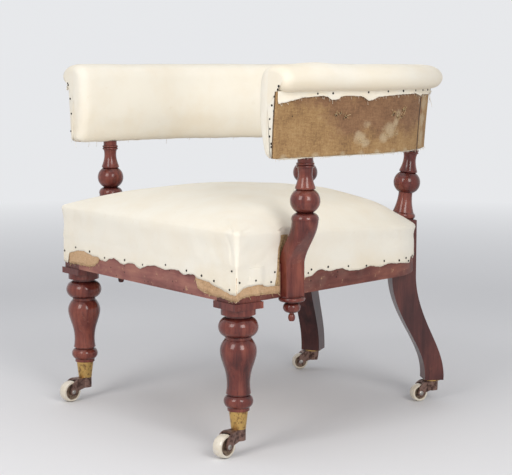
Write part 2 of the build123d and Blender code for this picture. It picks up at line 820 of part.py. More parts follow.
# Canvas over the springs, tacked on top of the rails
canvas_low = seat_level(rail_top_z)
canvas_high = seat_level(rail_top_z + spring_rise)
with BuildPart() as canvas_form:
    loft([seat_plan(canvas_low, canvas_inset), seat_plan(canvas_high, canvas_inset + canvas_slope)])
with BuildPart() as seat_canvas:
    add(canvas_form.part)
    loft(
        [
            seat_plan(canvas_low, canvas_inset + 1.5 * canvas_thickness),
            seat_plan(canvas_high.offset(-canvas_thickness), canvas_inset + canvas_slope + canvas_thickness),
        ],
        mode=Mode.SUBTRACT,
    )
    add(seat_room.part, mode=Mode.SUBTRACT)
write(seat_canvas.part, "seat_canvas")

# The edge of the seat lies on a plane that falls from the front to the back.
seat_depth = seat_back_y - seat_front_y
rake = math.atan((seat_front_rise - seat_back_rise) / seat_depth)
edge_z = rail_top_z + seat_front_rise - (crown_y - seat_front_y) * math.tan(rake)
middle_z_share = 0.5
crown_shares = [1.0, 0.97, 0.9, 0.78, 0.6, 0.38, 0.15]


# Form of the seat above the rails: drawn-in sides up to the edge, then the crown; grow thickens it all round.
def seat_form(grow=0.0):
    mid_level = seat_level(rail_top_z + middle_z_share * (edge_z - rail_top_z), rake * middle_z_share)
    sides = [
        seat_plan(seat_level(rail_top_z), -grow, 1.0, seat_corner_round + grow),
        seat_plan(mid_level, seat_draw - seat_overhang / 2 - grow, 1.0, seat_corner_round + grow),
        seat_plan(seat_level(edge_z, rake), -seat_overhang - grow, 1.0, seat_corner_round + grow),
    ]
    crown = []
    for share in crown_shares:
        rise = (seat_crown + grow) * (1 - share**crown_power)
        rounding = seat_corner_round + grow + crown_corner_round * (1 - share)
        crown.append(seat_plan(seat_level(edge_z + rise, rake), -seat_overhang - grow, share, rounding))
    with BuildPart() as form:
        loft(sides)
        loft(crown)
    return form.part


with BuildPart() as seat_stuffing:
    add(seat_form())
    add(canvas_form.part, mode=Mode.SUBTRACT)
    add(seat_room.part, mode=Mode.SUBTRACT)
write(seat_stuffing.part, "seat_stuffing")

# Calico over the stuffing and down the faces of the rails and leg blocks
skirt_z = rail_top_z - cover_drop
with BuildPart() as seat_cover:
    add(seat_form(cover_thickness))
    add(seat_form(), mode=Mode.SUBTRACT)
    extrude(seat_plan(seat_level(skirt_z), -cover_thickness), amount=cover_drop)
    with BuildSketch(Plane.XY.offset(skirt_z)):
        with Locations((front_leg_x, front_leg_y), (-front_leg_x, front_leg_y)):
            Rectangle(leg_block + 2 * cover_thickness, leg_block + 2 * cover_thickness)
    extrude(amount=cover_drop)
    extrude(seat_plan(seat_level(skirt_z)), amount=cover_drop, mode=Mode.SUBTRACT)
    with BuildSketch(Plane.XY.offset(skirt_z)):
        with Locations((front_leg_x, front_leg_y), (-front_leg_x, front_leg_y)):
            Rectangle(leg_block, leg_block)
    extrude(amount=cover_drop, mode=Mode.SUBTRACT)
    add(seat_room.part, mode=Mode.SUBTRACT)
write(seat_cover.part, "seat_cover")

# Section of the bow, as distance out from its middle line and height
roll_z = bow_top_z - roll_drop
bow_axis = Axis((0, bow_center_y, 0), (0, 0, 1))


# Outer face of the hessian at a given height.
def face_out(z):
    return bow_bottom_out + bow_flare * (z - bow_z) / (bow_height - roll_drop)


# A point moved square to the line between its neighbours, to its left.
def shifted(before, point, after, distance):
    run = math.hypot(after[0] - before[0], after[1] - before[1])
    return (
        point[0] - distance * (after[1] - before[1]) / run,
        point[1] + distance * (after[0] - before[0]) / run,
    )


# Section of the padded bow on an upright plane across the right arm, with a thickness taken off all round.
# From the tacked edge of the roll, over the top and down the inside, every second point ends an arc.
def bow_section(y, thin=0.0, cuts=()):
    face = face_out(roll_z)
    line = [
        (face, roll_z),
        (face + roll_overhang, roll_z + 0.48 * roll_drop),
        (face + 0.36 * roll_overhang, bow_top_z - top_fall),
        (top_fall, bow_top_z),
        (shoulder_radius - pad_thickness, bow_top_z - 0.7 * shoulder_radius),
        (0.3 * shoulder_radius - pad_thickness, bow_top_z - 1.7 * shoulder_radius),
        (-pad_thickness, bow_top_z - 3.2 * shoulder_radius),
        (-pad_thickness - pad_swell, (bow_top_z + bow_z) / 2),
        (-pad_thickness + pad_swell, bow_z + bottom_round),
        (-pad_thickness + 0.25 * bottom_round, bow_z + 0.34 * bottom_round),
        (-pad_thickness + 0.5 * bottom_round, bow_z),
    ]
    inner = [
        shifted(line[index - 1], line[index], line[index + 1], thin) for index in range(1, len(line) - 1)
    ]
    inner = [(line[0][0] - thin, line[0][1] + thin)] + inner + [(line[-1][0] + thin / 2, line[-1][1] + thin)]
    corner = (bow_bottom_out - thin, bow_z + thin)
    with BuildSketch(upright(bow_radius, y)) as sketch:
        with BuildLine():
            Line(corner, inner[0])
            for index in range(0, len(inner) - 1, 2):
                ThreePointArc(*inner[index : index + 3])
            Line(inner[-1], corner)
        make_face()
        for points in cuts:
            Polygon(*points, align=None, mode=Mode.SUBTRACT)
    return sketch.sketch


def bow_polygon(y, points):
    with BuildSketch(upright(bow_radius, y)) as sketch:
        Polygon(*points, align=None)
    return sketch.sketch


# Whole bow from a section: two straight arms, and the half circle of the back between them.
def bow_sweep(section, front_y):
    with BuildPart() as whole:
        extrude(section, amount=bow_center_y - front_y)
        mirror(about=Plane.YZ)
        revolve(section, axis=bow_axis, revolution_arc=180)
    return whole.part


# A stretch of both arms from a section that stands at the back of the stretch.
def arm_stretch(section, length):
    with BuildPart() as stretch:
        extrude(section, amount=length)
        mirror(about=Plane.YZ)
    return stretch.part


lower_z = bow_z + cover_thickness
lower_top_z = lower_z + bow_rail_height
upper_top_z = bow_top_z - upper_rail_drop
upper_z = upper_top_z - bow_rail_height
lower_in = face_out(lower_z) - hessian_thickness - bow_rail_width
upper_in = face_out(upper_z) - hessian_thickness - bow_rail_width
padding_y = arm_front_y + cover_thickness + end_padding
lower_rail = [
    (lower_in + bow_rail_chamfer, lower_z),
    (face_out(lower_z) - hessian_thickness, lower_z),
    (face_out(lower_top_z) - hessian_thickness, lower_top_z),
    (lower_in, lower_top_z),
    (lower_in, lower_z + bow_rail_chamfer),
]
upper_rail = [
    (upper_in, upper_z),
    (face_out(upper_z) - hessian_thickness, upper_z),
    (face_out(upper_top_z) - hessian_thickness, upper_top_z),
    (upper_in, upper_top_z),
]
outer_hessian = [
    (face_out(bow_z) - hessian_thickness, bow_z),
    (face_out(bow_z), bow_z),
    (face_out(upper_top_z), upper_top_z),
    (face_out(upper_top_z) - hessian_thickness, upper_top_z),
]
hollow = [lower_rail[3], lower_rail[2], upper_rail[1], upper_rail[0]]
inner_line = [(lower_in, lower_z + 2 * bow_rail_chamfer), lower_rail[3], upper_rail[0], upper_rail[3]]
inner_hessian = inner_line + [(u - hessian_thickness, z) for u, z in reversed(inner_line)]
bow_frame = (lower_rail, upper_rail, outer_hessian, hollow, inner_hessian)

for level, points in (("lower", lower_rail), ("upper", upper_rail)):
    rail_section = bow_polygon(bow_center_y, points)
    with BuildPart() as arm_rail:
        extrude(rail_section, amount=bow_center_y - padding_y)
        add(support_tenon.part, mode=Mode.SUBTRACT)
    write_pair(arm_rail.part, "bow_" + level + "_rail_{}")
    with BuildPart() as curved_rail:
        revolve(rail_section, axis=bow_axis, revolution_arc=180)
        add(post_tenon.part, mode=Mode.SUBTRACT)
        mirror(post_tenon.part, about=Plane.YZ, mode=Mode.SUBTRACT)
    write(curved_rail.part, "bow_" + level + "_rail_back")

# Uprights between the two rails of the bow
upright_in = upper_in + upright_room
upright_out = face_out(lower_top_z) - hessian_thickness - upright_room
upright_radius = bow_radius + (upright_in + upright_out) / 2
arm_upright_rows = [padding_y + upright_length / 2, bow_center_y - upright_length / 2]
with BuildPart() as bow_uprights:
    with BuildSketch(Plane.XY.offset(lower_top_z)):
        for row_y in arm_upright_rows:
            with Locations((upright_radius, row_y), (-upright_radius, row_y)):
                Rectangle(upright_out - upright_in, upright_length)
        for angle in upright_angles:
            with Locations(Location((0, bow_center_y, 0), 90 - angle)):
                with Locations((upright_radius, 0)):
                    Rectangle(upright_out - upright_in, upright_length)
    extrude(amount=upper_z - lower_top_z)
write(bow_uprights.part, "bow_uprights")

write(bow_sweep(bow_polygon(bow_center_y, inner_hessian), padding_y), "bow_inner_hessian")
outer_panel = bow_sweep(bow_polygon(bow_center_y, outer_hessian), arm_front_y)
write(outer_panel, "bow_outer_hessian")

# Hair stuffing round the frame of the bow, with a pad over each end of the arms
with BuildPart() as bow_stuffing:
    add(bow_sweep(bow_section(bow_center_y, cover_thickness, bow_frame), padding_y))
    add(arm_stretch(bow_section(padding_y, cover_thickness, (outer_hessian,)), end_padding))
    add(support_tenon.part, mode=Mode.SUBTRACT)
    mirror(support_tenon.part, about=Plane.YZ, mode=Mode.SUBTRACT)
    add(post_tenon.part, mode=Mode.SUBTRACT)
    mirror(post_tenon.part, about=Plane.YZ, mode=Mode.SUBTRACT)
write(bow_stuffing.part, "bow_stuffing")

# Calico of the bow: round the stuffing, over the ends of the arms, with an edge that laps over the hessian
lap_z = roll_z - calico_lap
lap_top_z = roll_z + cover_thickness
roll_lap = [
    (face_out(lap_z), lap_z),
    (face_out(lap_z) + cover_thickness, lap_z),
    (face_out(lap_top_z) + cover_thickness, lap_top_z),
    (face_out(lap_top_z), lap_top_z),
]
with BuildPart() as bow_cover:
    add(bow_sweep(bow_section(bow_center_y), arm_front_y))
    lining = bow_section(bow_center_y, cover_thickness)
    add(bow_sweep(lining, arm_front_y + cover_thickness), mode=Mode.SUBTRACT)
    add(outer_panel, mode=Mode.SUBTRACT)
    add(bow_sweep(bow_polygon(bow_center_y, roll_lap), arm_front_y))
    add(support_tenon.part, mode=Mode.SUBTRACT)
    mirror(support_tenon.part, about=Plane.YZ, mode=Mode.SUBTRACT)
    add(post_tenon.part, mode=Mode.SUBTRACT)
    mirror(post_tenon.part, about=Plane.YZ, mode=Mode.SUBTRACT)
write(bow_cover.part, "bow_cover")

# Castors. Brass cups hold the front legs, and round plates are screwed under the back ones.
pin_hole_radius = pin_radius + running_clearance
cup_outline = outline(
    upright(front_leg_x, front_leg_y),
    (pin_hole_radius, cup_bottom_z),
    [
        ((cup_bottom_radius, cup_bottom_z),),
        ((cup_top_radius, cup_top_z),),
        ((spigot_radius(cup_top_z), cup_top_z),),
        ((spigot_radius(cup_floor_z), cup_floor_z),),
        ((pin_hole_radius, cup_floor_z),),
    ],
)
with BuildPart() as castor_cup:
    revolve(cup_outline, axis=Axis((front_leg_x, front_leg_y, 0), (0, 0, 1)))
write_pair(castor_cup.part, "front_{}_castor_cup")

plate_under = Plane(origin=(foot_x, foot_y, back_foot_z - plate_thickness), z_dir=(0, 0, -1))
with BuildPart() as castor_plate:
    with BuildSketch(Plane.XY.offset(back_foot_z)):
        with Locations((foot_x, foot_y)):
            Circle(plate_radius)
            Circle(pin_hole_radius, mode=Mode.SUBTRACT)
    extrude(amount=-plate_thickness)
    with Locations(plate_under):
        with PolarLocations(screw_circle, 3):
            CounterSinkHole(screw_radius, screw_head_radius, plate_thickness)
write_pair(castor_plate.part, "back_{}_castor_plate")

sunk_in = (Align.CENTER, Align.CENTER, Align.MAX)
with BuildPart() as castor_screws:
    with Locations(plate_under):
        with PolarLocations(screw_circle, 3):
            Cylinder(screw_radius, castor_screw_length, align=sunk_in)
            Cone(screw_radius, screw_head_radius, countersink_depth, align=sunk_in)
    mirror(about=Plane.YZ)
write(castor_screws.part, "castor_screws")


# One castor under a pivot: the horn, its pin and the axle turn together, the wheel and its hub turn on the axle.
def write_castor(name, pivot, heading, radius, width, trail, horn_top, floor_top):
    side = upright(pivot[0], pivot[1], heading)
    along = side.x_dir
    across = side.z_dir
    plan = Plane(origin=(pivot[0], pivot[1], 0), x_dir=along, z_dir=(0, 0, 1))
    slot_half = width / 2 + side_gap
    outer_half = slot_half + horn_arm
    barrel_z = horn_top - horn_barrel
    horn_outline = outline(
        side,
        (-horn_radius, horn_top),
        [
            ((trail - horn_radius, horn_top),),
            ((trail + 0.4 * horn_boss, radius + 1.7 * horn_boss), (trail + horn_boss, radius)),
            ((trail, radius - horn_boss), (trail - horn_boss, radius)),
            ((horn_barrel_radius, barrel_z),),
            ((-horn_barrel_radius, barrel_z),),
            ((-horn_radius, horn_top - horn_plate),),
        ],
    )
    with BuildPart() as horn:
        extrude(horn_outline, amount=outer_half, both=True)
        with BuildSketch(plan):
            Circle(horn_radius)
            Polygon(
                (0, -horn_barrel_radius),
                (trail - horn_boss, -outer_half),
                (trail + horn_boss, -outer_half),
                (trail + horn_boss, outer_half),
                (trail - horn_boss, outer_half),
                (0, horn_barrel_radius),
                align=None,
            )
        extrude(amount=horn_top, mode=Mode.INTERSECT)
        with BuildSketch(side):
            with Locations((trail, radius)):
                Circle(radius + wheel_gap)
        extrude(amount=slot_half, both=True, mode=Mode.SUBTRACT)
        with BuildSketch(side):
            with Locations((trail, radius)):
                Circle(axle_radius)
        extrude(amount=outer_half, both=True, mode=Mode.SUBTRACT)
        with BuildSketch(plan):
            Circle(pin_radius)
        extrude(amount=horn_top, mode=Mode.SUBTRACT)
    write(horn.part, name + "_castor_horn")

    head_z = floor_top + pivot_gap
    with BuildPart() as pin:
        with BuildSketch(plan.offset(barrel_z)):
            Circle(pin_radius)
        extrude(amount=head_z - barrel_z)
        with BuildSketch(plan.offset(head_z)):
            Circle(pin_head_radius)
        extrude(amount=pin_head_height)
        fillet(pin.edges().filter_by(GeomType.CIRCLE).sort_by(Axis.Z)[-1], pin_head_height / 2)
    write(pin.part, name + "_castor_pin")

    center = side.from_local_coords(Vector(trail, radius, 0))
    turning = Plane(origin=center, x_dir=(0, 0, 1), z_dir=along)
    axle_axis = Axis(center, across)
    axle_end = outer_half + axle_head_height
    axle_outline = outline(
        turning,
        (0, -axle_end),
        [
            dome(axle_head_radius, -outer_half, -axle_end, inwards=False),
            ((axle_radius, -outer_half),),
            ((axle_radius, outer_half),),
            ((axle_head_radius, outer_half),),
            dome(axle_head_radius, outer_half, axle_end),
        ],
    )
    with BuildPart() as axle:
        revolve(axle_outline, axis=axle_axis)
    write(axle.part, name + "_castor_axle")

    # ringed discs close both sides of the wheel, on a tube that runs on the axle
    disc_edge = radius - hub_disc_inset
    recess = width / 2 - wheel_recess
    bore = axle_radius + running_clearance
    ring_in = hub_radius + (disc_edge - hub_radius) / 3
    ring_out = hub_radius + 2 * (disc_edge - hub_radius) / 3
    face = recess + hub_disc_thickness
    sunk = recess + hub_disc_thickness / 2
    hub_half = [
        (hub_radius, width / 2),
        (hub_radius, face),
        (ring_in, face),
        (ring_in, sunk),
        (ring_out, sunk),
        (ring_out, face),
        (disc_edge, face),
        (disc_edge, recess),
        (hub_radius, recess),
    ]
    far_half = [(r, -y) for r, y in reversed(hub_half)]
    hub_points = [(bore, width / 2)] + hub_half + far_half + [(bore, -width / 2)]
    with BuildPart() as hub:
        with BuildSketch(turning):
            Polygon(*hub_points, align=None)
        revolve(axis=axle_axis)
    write(hub.part, name + "_castor_hub")

    tread_edge = radius - tread_crown
    wheel_outline = outline(
        turning,
        (hub_radius, -recess),
        [
            ((disc_edge, -recess),),
            ((disc_edge, -width / 2),),
            ((tread_edge, -width / 2),),
            ((radius, 0), (tread_edge, width / 2)),
            ((disc_edge, width / 2),),
            ((disc_edge, recess),),
            ((hub_radius, recess),),
        ],
    )
    with BuildPart() as wheel:
        revolve(wheel_outline, axis=axle_axis)
    write(wheel.part, name + "_castor_wheel")
    print(name, "axle", center, "along", across, "pivot", pivot)


for side_index, (side_name, sign) in enumerate((("left", -1), ("right", 1))):
    write_castor(
        "front_" + side_name,
        (sign * front_leg_x, front_leg_y),
        heading_front[side_index],
        front_wheel_radius,
        front_wheel_width,
        front_trail,
        cup_bottom_z - pivot_gap,
        cup_floor_z,
    )
    write_castor(
        "back_" + side_name,
        (sign * foot_x, foot_y),
        heading_back[side_index],
        back_wheel_radius,
        back_wheel_width,
        back_trail,
        back_foot_z - plate_thickness - pivot_gap,
        back_foot_z,
    )

# Screws through the side rails into the feet of the arm supports
inward_x = -math.cos(taper)
inward_y = -math.sin(taper)
with BuildPart() as support_screws:
    for screw_rise in support_screw_rises:
        head = (rail_inner_x(arm_support_y), arm_support_y, rail_z + screw_rise)
        with Locations(Plane(origin=head, x_dir=(0, 0, 1), z_dir=(inward_x, inward_y, 0))):
            Cylinder(screw_radius, support_screw_length, align=sunk_in)
            Cylinder(screw_head_radius, screw_head_height, align=(Align.CENTER, Align.CENTER, Align.MIN))
    mirror(about=Plane.YZ)
write(support_screws.part, "support_screws")

# Tacks: a domed head on the calico and a pointed shank
tack_outline = outline(
    Plane.XZ,
    (0, -tack_length),
    [
        ((tack_shank_radius, -tack_point),),
        ((tack_shank_radius, 0),),
        ((tack_head_radius, 0),),
        dome(tack_head_radius, 0, tack_head_height),
    ],
)
with BuildPart() as tack:
    revolve(tack_outline, axis=Axis.Z)


def tack_plane(x, y, z, out_dir):
    return Plane(origin=(x, y, z), x_dir=(-out_dir[1], out_dir[0], 0), z_dir=(out_dir[0], out_dir[1], 0))


# Distances along a run, evenly spaced and as near to the given spacing as the run allows.
def spaced(start, end, spacing=tack_spacing):
    count = max(1, round(abs(end - start) / spacing))
    return [start + (end - start) * (index + 0.5) / count for index in range(count)]


seat_tack_z = skirt_z + tack_margin
skirt_radius = seat_corner_radius + cover_thickness
# the tacks of a back corner stop short of the leg, which stands across the corner's arc
leg_turn = math.atan2(leg_y - corner_y + leg_reach * out_y, leg_x - corner_x + leg_reach * out_x)
corner_length = skirt_radius * (leg_turn - taper) - back_leg_width / 2 - leg_tack_room
side_dir = (math.cos(taper), math.sin(taper))
seat_tack_planes = []
for tack_x in spaced(-front_leg_x - block_half, front_leg_x + block_half):
    seat_tack_planes.append(tack_plane(tack_x, seat_front_y - cover_thickness, seat_tack_z, (0, -1)))
side_spots = []
for tack_y in spaced(block_back_y + tack_margin, arm_support_y - support_collar_radius):
    side_spots.append(tack_y)
for tack_y in spaced(arm_support_y + support_collar_radius, corner_y):
    side_spots.append(tack_y)
for sign in (1, -1):
    block_x = sign * (front_leg_x + block_half + cover_thickness)
    seat_tack_planes.append(tack_plane(block_x, front_leg_y, seat_tack_z, (sign, 0)))
    for tack_y in side_spots:
        tack_x = rail_face_x(tack_y) + cover_thickness / math.cos(taper)
        side_out = (sign * side_dir[0], side_dir[1])
        seat_tack_planes.append(tack_plane(sign * tack_x, tack_y, seat_tack_z, side_out))
    for corner_run in spaced(0, corner_length):
        turn = taper + corner_run / skirt_radius
        turn_dir = (sign * math.cos(turn), math.sin(turn))
        seat_tack_planes.append(
            tack_plane(
                sign * corner_x + skirt_radius * turn_dir[0],
                corner_y + skirt_radius * turn_dir[1],
                seat_tack_z,
                turn_dir,
            )
        )
for tack_x in spaced(-corner_x, corner_x):
    seat_tack_planes.append(tack_plane(tack_x, seat_back_y + cover_thickness, seat_tack_z, (0, 1)))
with BuildPart() as seat_tacks:
    with Locations(*seat_tack_planes):
        add(tack.part)
write(seat_tacks.part, "seat_tacks")

roll_tack_z = roll_z - calico_lap / 2
roll_tack_out = bow_radius + face_out(roll_tack_z) + cover_thickness
bow_tack_planes = []
for sign in (1, -1):
    for tack_y in spaced(padding_y, bow_center_y):
        bow_tack_planes.append(tack_plane(sign * roll_tack_out, tack_y, roll_tack_z, (sign, 0)))
    for tack_z in spaced(bow_z + tack_margin, roll_z, end_tack_spacing):
        tack_x = bow_radius + face_out(tack_z) - end_tack_inset
        bow_tack_planes.append(tack_plane(sign * tack_x, arm_front_y, tack_z, (0, -1)))
for arc_run in spaced(0, math.pi * roll_tack_out):
    turn = arc_run / roll_tack_out
    turn_dir = (math.cos(turn), math.sin(turn))
    bow_tack_planes.append(
        tack_plane(
            roll_tack_out * turn_dir[0],
            bow_center_y + roll_tack_out * turn_dir[1],
            roll_tack_z,
            turn_dir,
        )
    )
with BuildPart() as bow_tacks:
    with Locations(*bow_tack_planes):
        add(tack.part)
write(bow_tacks.part, "bow_tacks")
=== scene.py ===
# Library armchair in calico and hessian: padding, cloth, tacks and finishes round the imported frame
import math
import random

import bmesh
import bpy
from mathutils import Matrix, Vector, noise


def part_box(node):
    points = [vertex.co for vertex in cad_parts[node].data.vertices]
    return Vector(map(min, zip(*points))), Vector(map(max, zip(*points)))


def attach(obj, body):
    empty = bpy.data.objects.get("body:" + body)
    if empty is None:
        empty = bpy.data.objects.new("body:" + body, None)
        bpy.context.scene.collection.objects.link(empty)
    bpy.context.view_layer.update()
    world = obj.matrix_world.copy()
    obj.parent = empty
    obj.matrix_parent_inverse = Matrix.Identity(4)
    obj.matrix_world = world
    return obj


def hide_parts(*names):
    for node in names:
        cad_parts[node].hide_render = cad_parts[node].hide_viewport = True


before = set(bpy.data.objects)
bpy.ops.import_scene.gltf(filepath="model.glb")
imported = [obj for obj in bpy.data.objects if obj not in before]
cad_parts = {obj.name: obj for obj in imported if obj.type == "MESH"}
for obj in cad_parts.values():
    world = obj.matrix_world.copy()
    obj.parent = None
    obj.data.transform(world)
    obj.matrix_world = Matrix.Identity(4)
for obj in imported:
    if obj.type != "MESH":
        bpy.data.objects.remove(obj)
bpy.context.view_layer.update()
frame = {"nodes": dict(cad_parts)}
nodes = frame["nodes"]
scene = bpy.context.scene
scene.view_settings.view_transform = "Standard"
mm = 0.001  # sizes below are in millimetres and are turned into metres with this
print("frame loaded:", len(nodes), "nodes")


# Camera, lights and floor

viewPoint = {"place": (2.358, -1.879, 0.747), "yaw": 51.9, "pitch": 7.2, "lens": 98.44, "sensor": 36.0}

studio = {
    "aim": (0.0, 0.0, 0.42),
    "boxes": [  # name, place, width, height, watts
        ("leftBox", (0.75, -2.75, 1.9), 1.2, 1.6, 34.5),
        ("rightBox", (3.0, -0.75, 1.8), 1.2, 1.6, 43.0),
        ("topBox", (-0.1, -0.5, 3.0), 2.6, 2.6, 12.0),
    ],
    "boxColour": (1.0, 0.98, 0.95),
    "skyLight": 0.50,
    "skyColour": (0.95, 0.97, 1.0, 1.0),
    "backColour": (0.80, 0.81, 0.83, 1.0),
    "floorColour": (0.80, 0.80, 0.82, 1.0),
    "floorRadius": 14.0,
    "floorFade": (1.7, 4.6),  # where the floor starts and ends turning into the background
}


def makeCamera():
    data = bpy.data.cameras.new("photoView")
    data.lens = viewPoint["lens"]
    data.sensor_width = viewPoint["sensor"]
    camera = bpy.data.objects.new("photoView", data)
    scene.collection.objects.link(camera)
    camera.location = viewPoint["place"]
    camera.rotation_euler = (math.radians(90 - viewPoint["pitch"]), 0, math.radians(viewPoint["yaw"]))
    scene.camera = camera


def makeLights():
    for name, place, width, height, watts in studio["boxes"]:
        data = bpy.data.lights.new(name, "AREA")
        data.shape = "RECTANGLE"
        data.size = width
        data.size_y = height
        data.energy = watts
        data.color = studio["boxColour"]
        lamp = bpy.data.objects.new(name, data)
        scene.collection.objects.link(lamp)
        lamp.location = place
        lamp.rotation_euler = (Vector(studio["aim"]) - Vector(place)).to_track_quat("-Z", "Y").to_euler()


# Nodes: a socket that adds Math nodes as it is used in sums, and the trees that hold them

class Tone:
    def __init__(self, nodes, socket):
        self.nodes = nodes
        self.socket = socket

    def maths(self, operation, first, second):
        return self.nodes.node("ShaderNodeMath", {"operation": operation}, {0: first, 1: second})

    def __add__(self, other):
        return self.maths("ADD", self, other)

    def __radd__(self, other):
        return self.maths("ADD", other, self)

    def __sub__(self, other):
        return self.maths("SUBTRACT", self, other)

    def __rsub__(self, other):
        return self.maths("SUBTRACT", other, self)

    def __mul__(self, other):
        return self.maths("MULTIPLY", self, other)

    def __rmul__(self, other):
        return self.maths("MULTIPLY", other, self)

    def __truediv__(self, other):
        return self.maths("DIVIDE", self, other)

    def __rtruediv__(self, other):
        return self.maths("DIVIDE", other, self)


class Nodes:
    def __init__(self, tree):
        self.tree = tree
        self.tree.nodes.clear()

    def node(self, kind, settings=None, inputs=None, out=0):
        made = self.tree.nodes.new(kind)
        for key, value in (settings or {}).items():
            if key == "stops":
                while len(made.color_ramp.elements) < len(value):
                    made.color_ramp.elements.new(0.5)
                for element, (place, colour) in zip(made.color_ramp.elements, value):
                    element.position = place
                    element.color = (*colour, 1.0)
            else:
                setattr(made, key, value)
        for key, value in (inputs or {}).items():
            if isinstance(value, Tone):
                self.tree.links.new(value.socket, made.inputs[key])
            else:
                made.inputs[key].default_value = value
        return Tone(self, made.outputs[out]) if made.outputs else None

    def seenRays(self):
        # rays to which the plain background shows
        rays = ("Is Camera Ray", "Is Glossy Ray", "Is Transmission Ray")
        seen, mirrored, through = [self.node("ShaderNodeLightPath", out=ray) for ray in rays]
        return seen + mirrored + through


class Finish(Nodes):
    def __init__(self, name):
        self.material = bpy.data.materials.new(name)
        self.material.use_nodes = True
        super().__init__(self.material.node_tree)
        self.coords = self.node("ShaderNodeTexCoord", out="Object")

    def noise(self, scale, detail=4.0, roughness=0.55, vector=None, distortion=0.0):
        sockets = {"Vector": vector or self.coords, "Scale": scale, "Detail": detail}
        sockets.update({"Roughness": roughness, "Distortion": distortion})
        return self.node("ShaderNodeTexNoise", {}, sockets)

    def stretched(self, scale, vector=None):
        return self.node("ShaderNodeMapping", {}, {"Vector": vector or self.coords, "Scale": scale})

    def ramp(self, value, stops):
        return self.node("ShaderNodeValToRGB", {"stops": stops}, {"Fac": value})

    def step(self, value, low, high):
        sockets = {"Value": value, "From Min": low, "From Max": high}
        return self.node("ShaderNodeMapRange", {"clamp": True}, sockets)

    def mix(self, first, second, share):
        sockets = {0: share}
        for key, colour in ((6, first), (7, second)):
            sockets[key] = colour if isinstance(colour, Tone) else (*colour, 1.0)
        return self.node("ShaderNodeMix", {"data_type": "RGBA", "clamp_factor": True}, sockets, out=2)

    def attribute(self, name, out="Fac"):
        return self.node("ShaderNodeAttribute", {"attribute_name": name}, out=out)

    def bump(self, height, distance, strength=1.0):
        return self.node("ShaderNodeBump", {}, {"Height": height, "Distance": distance, "Strength": strength})

    def shade(self, colour, roughness, **sockets):
        inputs = {"Base Color": colour, "Roughness": roughness}
        inputs.update({key.replace("_", " "): value for key, value in sockets.items()})
        return self.surface(self.node("ShaderNodeBsdfPrincipled", {}, inputs))

    def surface(self, shader):
        self.node("ShaderNodeOutputMaterial", {}, {"Surface": shader})
        return self.material


def makeSky():
    world = bpy.data.worlds.new("studio")
    scene.world = world
    world.use_nodes = True
    sky = Nodes(world.node_tree)
    light = {"Color": studio["skyColour"], "Strength": studio["skyLight"]}
    lit = sky.node("ShaderNodeBackground", {}, light)
    seen = sky.node("ShaderNodeBackground", {}, {"Color": studio["backColour"]})
    mixed = sky.node("ShaderNodeMixShader", {}, {0: sky.seenRays(), 1: lit, 2: seen})
    sky.node("ShaderNodeOutputWorld", {}, {"Surface": mixed})


# Finishes

def polishedWood(name, dark, middle, light, grain=(1.0, 1.0, 0.1), worn=0.3, rough=0.16):
    f = Finish(name)
    along = f.stretched(grain)
    figure = f.noise(60.0, 6.0, 0.6, along, 0.6)
    pores = f.noise(520.0, 3.0, 0.6, along)
    patches = f.noise(11.0, 3.0, 0.5)
    colour = f.ramp(figure * 0.65 + patches * 0.45, [(0.34, dark), (0.54, middle), (0.74, light)])
    colour = f.mix(colour, dark, f.step(pores, 0.56, 0.72) * 0.55)
    scuffs = f.step(f.noise(46.0, 8.0, 0.7), 0.60, 0.72) * f.step(patches, 0.42, 0.58)
    colour = f.mix(colour, (0.30, 0.12, 0.065), scuffs * worn)
    facing = f.node("ShaderNodeNewGeometry", out="Normal")
    upward = f.node("ShaderNodeSeparateXYZ", {}, {0: facing}, out="Z")
    # painted shade: faces that point up or down, as in the turned grooves, are darkened to stand in for the
    # shade that lies there
    paintedGrooveShade = f.step(upward.maths("ABSOLUTE", upward, 0.0), 0.5, 0.95)
    colour = f.mix(colour, dark, paintedGrooveShade * 0.8)
    roughness = rough + 0.16 * f.noise(34.0, 4.0) + 0.25 * scuffs
    normal = f.bump(figure * 0.4 + pores * 0.6, 0.25 * mm, 0.35)
    return f.shade(colour, roughness, Normal=normal, Specular_IOR_Level=0.22,
                   Coat_Weight=0.45, Coat_Roughness=0.06)


def dryRailWood(name, grain, dark, middle, light):
    f = Finish(name)
    along = f.stretched(grain)
    figure = f.noise(46.0, 8.0, 0.65, along, 0.5)
    patches = f.noise(13.0, 5.0, 0.6)
    colour = f.ramp(figure * 0.6 + patches * 0.45, [(0.36, dark), (0.52, middle), (0.7, light)])
    chips = f.step(f.noise(95.0, 5.0, 0.65), 0.62, 0.70)
    colour = f.mix(colour, (0.58, 0.37, 0.21), chips * 0.7)
    dust = f.step(f.noise(24.0, 6.0, 0.6), 0.5, 0.75)
    colour = f.mix(colour, (0.30, 0.18, 0.145), dust * 0.35)
    holes = f.node("ShaderNodeTexVoronoi", {}, {"Vector": f.coords, "Scale": 62.0}, out="Distance")
    hole = 1.0 - f.step(holes, 0.07, 0.13)
    colour = f.mix(colour, (0.03, 0.012, 0.01), hole)
    normal = f.bump(figure * 0.4 - hole + chips * 0.3, 0.6 * mm, 0.6)
    return f.shade(colour, 0.55 + 0.25 * dust, Normal=normal, Specular_IOR_Level=0.25)


